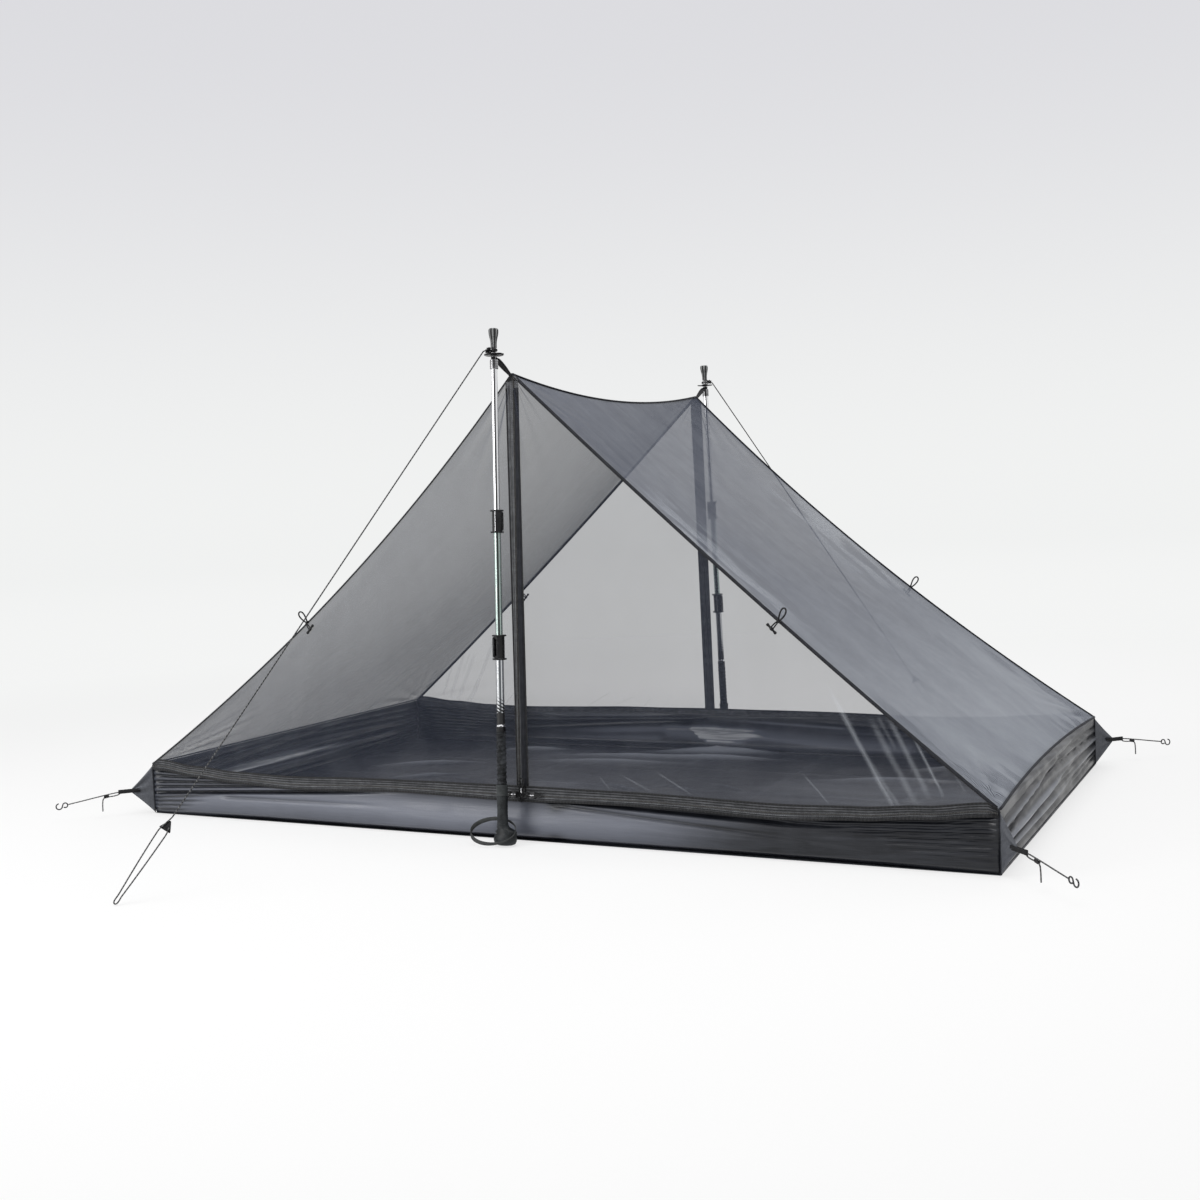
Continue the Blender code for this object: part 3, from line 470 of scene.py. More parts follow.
def coated_cloth(name, base, light, along, across, roughness, rise, crease_strength):
    """Coated ripstop: dark, softly shining, with a faint grid of heavier threads. Its tone follows the
    made_at height, which carries painted light and shade on its folds, crease ridges are painted highlights,
    and the highest places take a painted glint.
    """
    made, tree = new_material(name, roughness, specular=0.38)
    at = made_at(tree)
    height = axes(tree, at)[2]
    creases = use_group(tree, CREASES, {"At": at, "Along": along, "Across": across, "Waver": 0.6})
    fine = use_group(tree, CREASES, {"At": at, "Along": along * 5, "Across": across * 3.1, "Waver": 1.2})
    grid = use_group(tree, WOVEN, {"At": at, "Pitch": 0.005})
    wear = worn_at(tree, at, 9.0)
    # Painted highlights on crease ridges, with real wear patches; the same share sets how deep the creases
    # are bumped
    crease_highlights_and_wear = laid_on(tree, times(tree, creases["Ridges"], 0.16), fine["Ridges"], 0.10)
    crease_highlights_and_wear = laid_on(tree, crease_highlights_and_wear, wear["Patches"], 0.12)
    # Painted light and shade: the tone follows the made_at height
    tone = laid_on(tree, times(tree, stepped(tree, height, -rise, rise), 0.85), crease_highlights_and_wear, crease_strength)
    tone = laid_on(tree, tone, stepped(tree, grid["Height"], 0.985, 1.0), 0.02, clamp=True)
    # Painted glint: near white where the made_at height is highest
    lit = stepped(tree, height, rise * 1.2, rise * 3.2)
    glint = times(tree, lit, stepped(tree, fine["Height"], 0.30, 0.62, 0.35, 1.0))
    bent = bump(tree, creases["Height"], 0.005, 0.6 * crease_strength)
    bent = bump(tree, fine["Height"], 0.0018, 0.6 * crease_strength, bent)
    return finished(made, {
        "Base Color": between(tree, glint, between(tree, tone, base, light), (0.86, 0.88, 0.92)),
        "Roughness": stepped(tree, wear["Patches"], 0.0, 1.0, roughness - 0.05, roughness + 0.08),
        "Normal": bump(tree, grid["Height"], 0.00008, 0.5, bent),
    })


def stitched_tape(name, base, light, pitch, lines):
    """Woven tape with rows of stitching at the given places across it."""
    made, tree = new_material(name, 0.8, specular=0.25)
    at = made_at(tree)
    height = use_group(tree, WOVEN, {"At": at, "Pitch": pitch})["Height"]
    wear = worn_at(tree, at, 60.0)
    tone = laid_on(tree, times(tree, height, 0.25), wear["Patches"], 0.20)
    for line in lines:
        thread = use_group(tree, STITCHES, {"At": at, "Line": line})["Thread"]
        tone = laid_on(tree, tone, thread, 0.55)
        height = laid_on(tree, height, thread, 2.0)
    tone = times(tree, tone, 1.0, clamp=True)
    return finished(made, {"Base Color": between(tree, tone, base, light),
                         "Normal": bump(tree, height, 0.0002, 0.6)})


def zip_coil():
    """Interlocked coil: fine teeth across its length."""
    made, tree = new_material("zip_coil", 0.42)
    at = made_at(tree)
    tooth = maths(tree, "SINE", times(tree, axes(tree, at)[0], tau / COIL_PITCH))
    wear = worn_at(tree, at, 90.0)
    tone = times(tree, stepped(tree, tooth, -0.2, 0.8), stepped(tree, wear["Patches"], 0, 1, 0.6, 1.0))
    return finished(made, {"Base Color": between(tree, tone, (0.012, 0.012, 0.013), (0.17, 0.165, 0.155)),
                         "Normal": bump(tree, tooth, 0.0008, 0.9)})


def cord_braid(name, dark, pale):
    made, tree = new_material(name, 0.78)
    at = made_at(tree)
    braid = use_group(tree, BRAID, {"At": at})
    wear = worn_at(tree, at, 120.0)
    tone = times(tree, braid["Flecks"], stepped(tree, wear["Patches"], 0, 1, 0.55, 1.0))
    return finished(made, {"Base Color": between(tree, tone, dark, pale),
                         "Normal": bump(tree, braid["Height"], 0.0004, 0.8)})


def moulded(name, base, worn, roughness, grain, specks=0.3):
    """Moulded plastic, rubber or foam with its grain, worn paler in patches."""
    made, tree = new_material(name, roughness, specular=0.25)
    at = made_at(tree)
    wear = worn_at(tree, at, grain)
    pits = put(tree, "TexVoronoi", {"Vector": at, "Scale": grain * 18}).outputs["Distance"]
    tone = laid_on(tree, times(tree, wear["Patches"], 0.5), wear["Specks"], specks, clamp=True)
    return finished(made, {
        "Base Color": between(tree, tone, base, worn),
        "Roughness": stepped(tree, wear["Patches"], 0, 1, roughness - 0.06, roughness + 0.08),
        "Normal": bump(tree, pits, 0.0002, 0.5),
    })


def fluted_rubber():
    """Rubber foot cover: dark in its flutes, and painted pale silver on the ribs between them, as
    highlights.
    """
    made, tree = new_material("fluted_rubber", 0.42, specular=0.4)
    at = made_at(tree)
    place = axes(tree, at)
    around = times(tree, maths(tree, "ARCTAN2", place[1], place[0]), COVER_RIBS)
    painted_rib_highlight = stepped(tree, maths(tree, "COSINE", around), -0.1, -0.9)
    wear = worn_at(tree, at, 80.0)
    tone = times(tree, painted_rib_highlight, stepped(tree, wear["Patches"], 0, 1, 0.55, 1.0))
    return finished(made, {"Base Color": between(tree, tone, (0.010, 0.010, 0.011), (0.42, 0.43, 0.43)),
                         "Normal": bump(tree, wear["Specks"], 0.0001, 0.4)})


def painted_tube_sheen(tree, start, end, left):
    """Mask of a painted sheen on a tube: its flanks, not the middle that is looked at, and less towards its
    outline.
    """
    facing = put(tree, "LayerWeight", {"Blend": 0.5}).outputs["Facing"]
    return times(tree, stepped(tree, facing, 0.010, 0.070), stepped(tree, facing, start, end, 1.0, left))


def drawn_tube(name, base, worn, roughness, dents=0.2, core=0.30):
    """Metal tube: fine lines along its length, rougher patches from handling, and a painted reflection that
    makes it darkest where it is looked at.
    """
    made, tree = new_material(name, roughness, 1.0)
    at = made_at(tree)
    lines = mottle(tree, vectors(tree, "MULTIPLY", at, (900.0, 900.0, 14.0))[0], 1.0, 3.0)
    wear = worn_at(tree, at, 30.0)
    tone = laid_on(tree, times(tree, wear["Patches"], dents), lines, dents, clamp=True)
    tube = between(tree, tone, base, worn)
    # Painted reflection: darker along the middle that faces the viewer, as if a dark room were mirrored
    # there
    painted_dark_middle = between(tree, core, (0.0, 0.0, 0.0), tube)
    return finished(made, {
        "Base Color": between(tree, painted_tube_sheen(tree, 0.55, 0.90, 0.35), painted_dark_middle, tube),
        "Roughness": stepped(tree, wear["Patches"], 0, 1, roughness, roughness + 0.12),
        "Normal": bump(tree, lines, 0.00002, 0.4),
    })


def striped_tube():
    """Silver tube with a black length, then black stripes that wind up and thin out."""
    made, tree = new_material("striped_silver_tube", 0.28)
    at = made_at(tree)
    place = axes(tree, at)
    around = times(tree, maths(tree, "ARCTAN2", place[1], place[0]), STRIPES_AROUND)
    climb = times(tree, minus(tree, place[2], BLACK_TOP), tau / STRIPE_PITCH)
    thin = stepped(tree, place[2], BLACK_TOP, STRIPES_TOP, -0.35, 0.9)
    stripe = maths(tree, "GREATER_THAN", maths(tree, "SINE", plus(tree, climb, around)), thin)
    below, striped = (maths(tree, "LESS_THAN", place[2], top) for top in (BLACK_TOP, STRIPES_TOP))
    paint = maths(tree, "MAXIMUM", below, times(tree, stripe, striped))
    wear = worn_at(tree, at, 40.0)
    silver = between(tree, times(tree, wear["Patches"], 0.4), (0.66, 0.67, 0.69), (0.46, 0.47, 0.49))
    # Painted reflection: the silver is darker along the middle that faces the viewer
    silver = between(tree, painted_tube_sheen(tree, 0.42, 0.80, 0.4), (0.10, 0.11, 0.12), silver)
    return finished(made, {
        "Base Color": between(tree, paint, silver, (0.004, 0.004, 0.005)),
        "Metallic": minus(tree, 1.0, paint),
        "Roughness": stepped(tree, paint, 0, 1, 0.24, 0.42),
        "Normal": bump(tree, wear["Specks"], 0.00002, 0.3),
    })


# Share of light that the net lets through at its top and at its foot, and how much its foot is paled; on the
# end panels that paleness is painted light and painted highlights on folds
MESH_LETS_THROUGH = 0.712
MESH_LETS_THROUGH_LOW = 0.46
MESH_PALE_LOW = 0.42
# Pulled lines on a right-hand door leaf, denser net painted pale as highlights: start and end from its
# corner, half width and strength
MESH_PULLED_LINES = (
    ((0.371, 0.249), (0.200, -0.024), 0.0085, 0.85),
    ((0.300, 0.130), (0.185, -0.024), 0.0070, 0.45),
    ((0.275, 0.179), (0.160, -0.005), 0.0105, 0.55),
    ((0.255, 0.177), (0.212, 0.108), 0.0060, 0.35),
    ((0.240, 0.188), (0.140, 0.018), 0.0090, 0.65),
    ((0.185, 0.147), (0.112, 0.022), 0.0050, 0.85),
    ((0.104, 0.083), (0.068, 0.030), 0.0030, 0.35),
    ((0.410, 0.057), (0.345, -0.008), 0.0030, 0.50),
    ((0.880, 0.030), (0.850, -0.002), 0.0025, 0.40),
    ((0.825, 0.033), (0.750, 0.000), 0.0025, 0.45),
    ((0.745, 0.046), (0.655, -0.002), 0.0028, 0.50),
)
MESH = insect_mesh()
WALL_CLOTH = coated_cloth("coated_wall_cloth", (0.004, 0.005, 0.008), (0.250, 0.268, 0.325),
                          1.6, 30.0, 0.34, 0.009, 0.24)
END_CLOTH = coated_cloth("coated_end_cloth", (0.004, 0.005, 0.007), (0.250, 0.268, 0.315),
                         1.2, 15.0, 0.34, 0.009, 0.13)
FLOOR_SHEET = coated_cloth("coated_floor_cloth", (0.002, 0.0025, 0.005), (0.250, 0.268, 0.310),
                           4.0, 9.0, 0.42, 0.016, 0.20)
TAB_CLOTH = coated_cloth("coated_tab_cloth", (0.040, 0.044, 0.052), (0.150, 0.158, 0.180),
                         30.0, 30.0, 0.5, 0.009, 1.0)
BINDING = stitched_tape("seam_binding", (0.003, 0.0035, 0.005), (0.060, 0.064, 0.078), 0.0012,
                        (0.004, 0.009))
ZIP_TAPE = stitched_tape("zip_tape", (0.015, 0.0158, 0.018), (0.330, 0.340, 0.360), 0.0011,
                         (0.003, 0.008, 0.016))
WEBBING = stitched_tape("black_webbing", (0.009, 0.009, 0.010), (0.040, 0.040, 0.043), 0.0016, (0.0015,))
STRAP_WEBBING = stitched_tape("wrist_webbing", (0.028, 0.030, 0.030), (0.125, 0.130, 0.130), 0.0014,
                              (0.003,))
COIL = zip_coil()
CORD = cord_braid("flecked_cord", (0.030, 0.030, 0.032), (0.36, 0.36, 0.36))
ELASTIC = cord_braid("black_elastic", (0.005, 0.005, 0.006), (0.045, 0.045, 0.047))
FOAM = moulded("ribbed_foam", (0.0030, 0.0034, 0.0040), (0.110, 0.118, 0.130), 0.80, 45.0, 1.0)
HANDLE_RUBBER = moulded("handle_rubber", (0.005, 0.0065, 0.0075), (0.060, 0.067, 0.071), 0.46, 45.0, 0.8)
COLLAR_RUBBER = moulded("collar_rubber", (0.026, 0.030, 0.031), (0.095, 0.102, 0.104), 0.60, 45.0, 0.8)
PLASTIC = moulded("black_plastic", (0.004, 0.004, 0.005), (0.026, 0.026, 0.028), 0.26, 60.0)
COVER_RUBBER = fluted_rubber()
POLISHED = drawn_tube("polished_tube", (0.86, 0.86, 0.87), (0.66, 0.66, 0.68), 0.14, 0.2, 0.08)
GREY_GREEN = drawn_tube("grey_green_tube", (0.42, 0.50, 0.47), (0.26, 0.32, 0.30), 0.24, 0.2, 0.10)
BRIGHT = drawn_tube("bright_ring", (0.78, 0.78, 0.80), (0.60, 0.60, 0.62), 0.14)
HOOK_METAL = drawn_tube("dark_hook_wire", (0.040, 0.040, 0.044), (0.16, 0.16, 0.16), 0.34)
SLIDER_METAL = drawn_tube("enamelled_slider", (0.012, 0.012, 0.013), (0.16, 0.16, 0.165), 0.30, 0.35)
FERRULE_METAL = drawn_tube("grooved_ferrule", (0.060, 0.060, 0.062), (0.52, 0.52, 0.53), 0.22, 0.6, 0.15)
STRIPED = striped_tube()


# Making meshes

TURNED_SHARP_ANGLE = 38
FLAT_SHARP_ANGLE = 40
PLATE_EDGE = 0.0004


def add_piece(name, points, faces, material, turn=None, coordinates=None, corner=None, sharp=None):
    """A mesh piece that keeps its making coordinates, and is then turned into place."""
    mesh = bpy.data.meshes.new(name)
    mesh.from_pydata([tuple(point) for point in points], [], faces)
    for title, values in (("made_at", coordinates or points), ("from_corner", corner)):
        if values:
            kept = mesh.attributes.new(title, "FLOAT_VECTOR", "POINT")
            kept.data.foreach_set("vector", [number for value in values for number in value])
    if turn is not None:
        mesh.transform(turn)
    mesh.materials.append(material)
    mesh.shade_smooth()
    if sharp is not None:
        mesh.set_sharp_from_angle(angle=radians(sharp))
    return show(name, mesh)


def show(name, data):
    item = bpy.data.objects.new(name, data)
    bpy.context.scene.collection.objects.link(item)
    return item


def dress(item, body, slot, *nodes):
    """The piece rides on a body and may stand for CAD nodes, which it hides. The slot is not used."""
    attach(item, body)
    if nodes:
        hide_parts(*nodes)


def grid_faces(rows, columns):
    faces = []
    for row in range(rows - 1):
        for column in range(columns - 1):
            first = row * columns + column
            faces.append((first, first + 1, first + columns + 1, first + columns))
    return faces


def ring_faces(rings, count, closed=False):
    """Faces between rings of points, and over both ends unless the last ring joins the first."""
    faces = []
    for ring in range(rings if closed else rings - 1):
        following = (ring + 1) % rings
        for number in range(count):
            after = (number + 1) % count
            faces.append((ring * count + number, ring * count + after,
                          following * count + after, following * count + number))
    if not closed:
        faces.append(tuple(range(count))[::-1])
        faces.append(tuple((rings - 1) * count + number for number in range(count)))
    return faces


def cloth(name, rows, material, turn=None, corner=None, rise=None, lengthwise=False):
    """A sheet through rows of points, with its coordinates measured along the cloth."""
    points = [point for row in rows for point in row]
    middle = len(rows[0]) // 2
    coordinates = []
    down = 0.0
    for number, row in enumerate(rows):
        if number:
            down += (row[middle] - rows[number - 1][middle]).length
        across = 0.0
        for place, point in enumerate(row):
            if place:
                across += (point - row[place - 1]).length
            height = rise[len(coordinates)] if rise else 0.0
            coordinates.append((down, across, height) if lengthwise else (across, down, height))
    return add_piece(name, points, grid_faces(len(rows), len(rows[0])), material, turn, coordinates, corner)


def path_frames(path, outs=None):
    """Direction, side and outward vectors at each point of a path."""
    frames = []
    last = None
    for number in range(len(path)):
        before = path[max(number - 1, 0)]
        after = path[min(number + 1, len(path) - 1)]
        along = (after - before).normalized()
        if outs is not None:
            out = outs[number] if isinstance(outs, list) else outs
        elif last is None:
            out = along.orthogonal().normalized()
        else:
            out = last
        side = along.cross(out).normalized()
        out = side.cross(along).normalized()
        last = out
        frames.append((along, side, out))
    return frames


def swept(name, path, outline, material, turn=None, outs=None, sizes=None, closed=False):
    """An outline of (across, out) points carried along a path, capped unless the path is closed."""
    count = len(outline)
    frames = path_frames(path, outs)
    girth = [0.0]
    for number in range(1, count):
        girth.append(girth[-1] + (Vector(outline[number]) - Vector(outline[number - 1])).length)
    points = []
    coordinates = []
    length = 0.0
    for number, (point, (_, side, out)) in enumerate(zip(path, frames)):
        if number:
            length += (point - path[number - 1]).length
        size = sizes[number] if sizes else 1.0
        wide, tall = size if isinstance(size, tuple) else (size, size)
        for (across, lift), around in zip(outline, girth):
            points.append(point + side * across * wide + out * lift * tall)
            coordinates.append((length, around, 0.0))
    faces = ring_faces(len(path), count, closed)
    return add_piece(name, points, faces, material, turn, coordinates)


def round_cord(radius, sides=8):
    return oval(radius, radius, sides)


def heading_at(angle):
    return Vector((cos(angle), sin(angle), 0))


def oval(half_width, half_height, sides=10, lift=0.0):
    return [(half_width * cos(tau * side / sides),
             lift + half_height * sin(tau * side / sides)) for side in range(sides)]


def band(half_width, thickness):
    """Outline of a flat tape with rounded edges."""
    half = thickness / 2
    edge = half_width - half * 0.6
    return [(edge, -half), (half_width, 0.0), (edge, half), (0.0, half),
            (-edge, half), (-half_width, 0.0), (-edge, -half), (0.0, -half)]


def smooth_route(knots, steps):
    """Points on a smooth curve through the knots, with a number of steps for each span."""
    knots = [Vector(knot) for knot in knots]
    points = []
    for span in range(len(knots) - 1):
        before = knots[max(span - 1, 0)]
        start = knots[span]
        end = knots[span + 1]
        after = knots[min(span + 2, len(knots) - 1)]
        length = (end - start).length
        leave = (end - before).normalized() * length
        arrive = (after - start).normalized() * length
        for step in range(steps[span]):
            t = step / steps[span]
            points.append(
                start * (2 * t**3 - 3 * t**2 + 1)
                + leave * (t**3 - 2 * t**2 + t)
                + end * (3 * t**2 - 2 * t**3)
                + arrive * (t**3 - t**2)
            )
    points.append(knots[-1])
    return points


def lofted(name, rings, material, turn=None, sides=40, open_ends=False, shape=None):
    """A solid through oval rings (height, half length, half depth, shift along X); open ends join inside."""
    points = []
    for ring, (height, half_x, half_y, shift) in enumerate(rings):
        for side in range(sides):
            angle = tau * side / sides
            grow, rise = shape(ring, angle) if shape else (1.0, 0.0)
            points.append(Vector((shift + half_x * grow * cos(angle), half_y * grow * sin(angle),
                                  height + rise)))
    faces = ring_faces(len(rings), sides, open_ends)
    return add_piece(name, points, faces, material, turn, sharp=TURNED_SHARP_ANGLE)


def turned(name, profile, material, turn=None, sides=40, open_ends=False, shape=None):
    """A round solid through (radius, height) points."""
    rings = [(height, radius, radius, 0.0) for radius, height in profile]
    return lofted(name, rings, material, turn, sides, open_ends, shape)


def plate(name, outline, thickness, along, across, centre, material, turn):
    """A flat shape of (along, across) points with rounded edges."""
    out = along.cross(across).normalized()
    middle = sum((Vector(point) for point in outline), Vector((0, 0))) / len(outline)
    points = []
    half = thickness / 2
    layers = ((-half, PLATE_EDGE), (-half + PLATE_EDGE, 0.0), (half - PLATE_EDGE, 0.0), (half, PLATE_EDGE))
    for lift, inset in layers:
        for point in outline:
            offset = Vector(point) - middle
            place = middle + offset * (1 - inset / max(offset.length, inset))
            points.append(centre + along * place.x + across * place.y + out * lift)
    faces = ring_faces(len(layers), len(outline))
    return add_piece(name, points, faces, material, turn, sharp=FLAT_SHARP_ANGLE)


def thicken(item, thickness):
    solid = item.modifiers.new("thickness", "SOLIDIFY")
    solid.thickness = thickness
    solid.offset = 0.0


# The tent's shape

def wall_top(x):
    """Height of a long wall's upper edge, hidden under the base zip."""
    return band_edges(x)[0] + WALL_UNDER_BAND


def band_edges(x):
    """Heights of the base zip's lower and upper edge, eased between their measured places."""
    away = min(abs(x), HALF_LENGTH)
    for (start, low, high), (end, next_low, next_high) in zip(BAND_LINE, BAND_LINE[1:]):
        if away <= end:
            share = eased(away, start, end)
            return low + (next_low - low) * share, high + (next_high - high) * share
    return BAND_LINE[-1][1:]


def on_face(x, z, lift=0.0):
    """A point on the flat plane of the front door, moved out of it by lift."""
    y = -HALF_WIDTH + FACE_LEAN * (z - WALL_HEIGHT)
    return Vector((x, y, z)) + OUT_OF_DOOR * lift


def seam_line(hand):
    down = Vector((hand * HALF_LENGTH, 0, WALL_HEIGHT - PEAK_HEIGHT))
    length = down.length
    down /= length
    inward = Vector((hand * down.z, 0, -abs(down.x)))
    return down, inward, length


def seam_at(hand, share):
    """A point on a front seam, share 0 at the peak and 1 at the corner, sagging down and into the room."""
    down, inward, length = seam_line(hand)
    swell = 4 * share * (1 - share)
    flat = Vector((0, 0, PEAK_HEIGHT)) + down * length * share + inward * SEAM_SAG * swell
    return on_face(flat.x, flat.z) + Vector((0, SEAM_PULL * swell, 0))


def ridge_at(share):
    """A point on the ridge, share 0 at the front peak and 1 at the rear peak."""
    return Vector((0, HALF_RIDGE * (2 * share - 1), PEAK_HEIGHT - RIDGE_SAG * 4 * share * (1 - share)))


def zip_line(z):
    """Place across the door of the upright zip's coil, which drifts to one side on its way down."""
    share = (PEAK_HEIGHT - z) / (PEAK_HEIGHT - WALL_HEIGHT)
    return ZIP_TOP_SHIFT + (ZIP_FOOT_SHIFT - ZIP_TOP_SHIFT) * share


def zip_edge(hand, z):
    """Outer edge of one half of the upright zip's tape; both edges drift more than the coil."""
    share = (PEAK_HEIGHT - z) / (PEAK_HEIGHT - WALL_HEIGHT)
    if hand < 0:
        return ZIP_LEFT_TOP + (ZIP_FOOT_SHIFT - ZIP_NARROW - ZIP_LEFT_TOP) * share
    return ZIP_RIGHT_TOP + (ZIP_FOOT_SHIFT + ZIP_WIDE - ZIP_RIGHT_TOP) * share


def uneven(x, y, z):
    return noise.noise(Vector((x, y, z)))


def eased(value, low, high):
    t = min(max((value - low) / (high - low), 0.0), 1.0)
    return t * t * (3 - 2 * t)


def gathers(from_corner, reach, count, depth):
    """Height of folds that fan out from a point."""
    far = from_corner.length
    if far > reach or far < 1e-4:
        return 0.0
    angle = atan2(from_corner.y, from_corner.x)
    fade = (1 - far / reach) ** 1.5 * eased(far, 0.0, 0.05)
    return depth * fade * uneven(angle * count, far * 1.5, count)


def folded(x, z, folds, both_ends=False):
    """How far cloth stands out at a point. Each fold runs from one place to another, where it fades."""
    total = 0.0
    for from_x, from_z, to_x, to_z, half, depth in folds:
        run_x, run_z = to_x - from_x, to_z - from_z
        length = hypot(run_x, run_z)
        along = ((x - from_x) * run_x + (z - from_z) * run_z) / length**2
        off = abs((x - from_x) * run_z - (z - from_z) * run_x) / length
        if -0.03 < along < 1.0 and off < 2.6 * half:
            start = 0.5 if both_ends else 0.03
            fade = eased(along, -0.03, start) * (1 - eased(along, 0.45, 1.0))
            total += depth * exp(-(off / half) ** 2) * fade
    return total


def base_height(x):
    """Height of a door's foot, just under the upper edge of the base zip."""
    return band_edges(x)[1] - 0.003


def door_point(hand, share, place):
    """A point on one door leaf: share runs down the seam, place from the zip (0) to the seam (1)."""
    edge = seam_at(hand, share)
    z = edge.z
    inner = zip_line(z)
    x = inner + (edge.x - inner) * place
    settle = eased(share, 0.55, DOOR_FOOT_SHARE)
    z += (base_height(x) - base_height(edge.x)) * settle
    flat = on_face(x, z)
    pull = (edge.y - on_face(edge.x, edge.z).y) * place**1.7
    low = Vector((HALF_LENGTH - abs(x), z - WALL_HEIGHT))
    high = Vector((abs(x), PEAK_HEIGHT - z))
    folds = gathers(low, 0.55, 9.0, 0.010) + gathers(high, 0.34, 7.0, 0.014)
    slack = 0.0035 * uneven(x * 2.2 + hand, z * 2.6, 4.0)
    hold = eased(1 - place, 0.0, 0.06) * eased(place, 0.0, 0.05)
    hold *= eased(DOOR_FOOT_SHARE - share, 0.0, 0.02)
    return flat + Vector((0, pull, 0)) + OUT_OF_DOOR * (folds + slack) * hold, low


def make_door(side, label, hand, turn):
    """One mesh leaf, a single curved sheet from its seam to the zip."""
    rows = []
    corner = []
    rise = []
    down_steps, across_steps = 100, 72
    apart = 0.0 if hand > 0 else OUT_OF_REACH
    for down in range(down_steps + 1):
        share = 0.006 + (DOOR_FOOT_SHARE - 0.006) * down / down_steps
        row = []
        for across in range(across_steps + 1):
            point, low = door_point(hand, share, across / across_steps)
            row.append(point)
            corner.append((low.x + apart, low.y + apart, 0.0))
            rise.append(0.30 * eased(share, 0.86, 1.0) if hand > 0 else 0.0)
        rows.append(row)
    place = side + "_" + label
    leaf = cloth("mesh_door_" + place, rows, MESH, turn, corner, rise)
    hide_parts("door_" + place)
    start, end = hinge_span(hand, turn)
    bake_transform(leaf)


def hinge_span(hand, turn):
    """Points across a door's hinge line: where it starts to turn, and where it has turned."""
    down, inward, length = seam_line(hand)
    middle = Vector((0, 0, PEAK_HEIGHT)) + down * length / 2 + inward * HINGE_OFFSET
    start = on_face(middle.x, middle.z)
    far = middle + inward * DOOR_BEND
    return turn @ start, turn @ on_face(far.x, far.z)


def make_end_panel(label, hand):
    """The sloping mesh between the ridge, two seams and an end wall, one curved sheet."""
    rows = []
    corner = []
    rise = []
    down_steps, across_steps = 120, 80
    # Only the right panel takes painted light and painted crumples
    painted_light_panel = 1.0 if label == "right" else 0.0
    out = Vector((hand * PANEL_OUT_X, 0, PANEL_OUT_Z))
    for down in range(down_steps + 1):
        share = down / down_steps
        edge = seam_at(hand, share)
        row = []
        for across in range(across_steps + 1):
            place = across / across_steps
            cup = 4 * place * (1 - place)
            y = edge.y * (1 - 2 * place)
            drop = RIDGE_SAG * (1 - share) ** 2 * cup
            billow = PANEL_BILLOW * 4 * share * (1 - share) * cup
            point = Vector((edge.x - hand * billow * PANEL_OUT_X, y, edge.z - drop - billow * PANEL_OUT_Z))
            low = Vector((HALF_WIDTH - abs(y), (1 - share) * PANEL_SLOPE))
            high = Vector((HALF_RIDGE - abs(y), share * PANEL_SLOPE))
            folds = gathers(low, 0.34, 11.0, 0.012) + gathers(high, 0.35, 7.0, 0.009)
            slack = 0.004 * uneven(share * 3.1 + hand, y * 2.3, 9.0)
            hold = eased(cup, 0.0, 0.15) * eased(4 * share * (1 - share), 0.0, 0.06)
            point += out * (folds + slack) * hold
            row.append(point)
            from_seam = place if y < 0 else 1 - place
            near = eased(from_seam, 0.30, 0.02)
            taut = near * eased(share, 0.22, 0.34) * (1 - eased(share, 0.50, 0.66))
            beside = eased(near, 0.80, 0.98) * eased(share, 0.72, 0.84)
            above_wall = eased(share, 0.925, 0.985) * eased(from_seam, 0.40, 0.10)
            # Crumples are painted highlights where the net is taut, and painted shade beside the seam and
            # above the wall
            crumples = taut - 0.9 * max(beside, above_wall)
            corner.append((OUT_OF_REACH, OUT_OF_REACH, crumples * painted_light_panel))
            # Painted light on the right panel, palest towards the wall and varied at random, and painted
            # highlights on the folds of both panels
            soft = uneven(share * 2.0, y * 7.0, 3.0)
            dust = 0.26 + 0.66 * eased(share, 0.25, 1.0) + 0.10 * soft
            rise.append(painted_light_panel * dust + 22 * folds * share)
        rows.append(row)
    panel = cloth("mesh_end_panel_" + label, rows, MESH, None, corner, rise)
    dress(panel, "tent", "mesh", "end_panel_" + label)


# Folds of a long wall: from x, z to x, z, half width and depth, deepest at their first end
LONG_WALL_FOLDS = (
    (-1.10, 0.055, -0.25, 0.098, 0.0036, -0.016),
    (-1.10, 0.070, -0.55, 0.098, 0.0032, -0.010),
    (-1.10, 0.084, -0.62, 0.100, 0.0032, -0.010),
    (-1.10, 0.100, -0.70, 0.102, 0.0030, -0.009),
    (-1.10, 0.114, -0.80, 0.104, 0.0030, -0.008),
    (-1.10, 0.043, -0.86, 0.060, 0.0028, -0.006),
    (-1.10, 0.034, -0.90, 0.044, 0.0028, -0.006),
    (-1.10, 0.024, -0.94, 0.030, 0.0028, -0.005),
    (-1.10, 0.014, -0.96, 0.018, 0.0028, -0.005),
    (-0.86, 0.056, -0.30, 0.060, 0.0040, -0.003),
    (1.10, 0.116, 0.45, 0.084, 0.0036, -0.014),
    (1.10, 0.104, 0.50, 0.078, 0.0034, -0.011),
    (1.10, 0.092, 0.55, 0.071, 0.0034, -0.010),
    (1.10, 0.080, 0.66, 0.065, 0.0032, -0.010),
    (1.10, 0.068, 0.70, 0.058, 0.0032, -0.009),
    (1.10, 0.056, 0.74, 0.050, 0.0030, -0.008),
    (1.10, 0.044, 0.80, 0.040, 0.0030, -0.007),
    (1.10, 0.032, 0.84, 0.031, 0.0030, -0.006),
    (1.10, 0.020, 0.86, 0.022, 0.0030, -0.005),
    (0.05, 0.098, 0.95, 0.070, 0.0046, -0.016),
    (0.10, 0.086, 0.95, 0.030, 0.0040, -0.004),
)
# How far a long wall's belly stands out and its foot is tucked in
WALL_BELLY = 0.0095
WALL_TUCK = 0.012
WALL_TUCK_AT_ENDS = 0.004
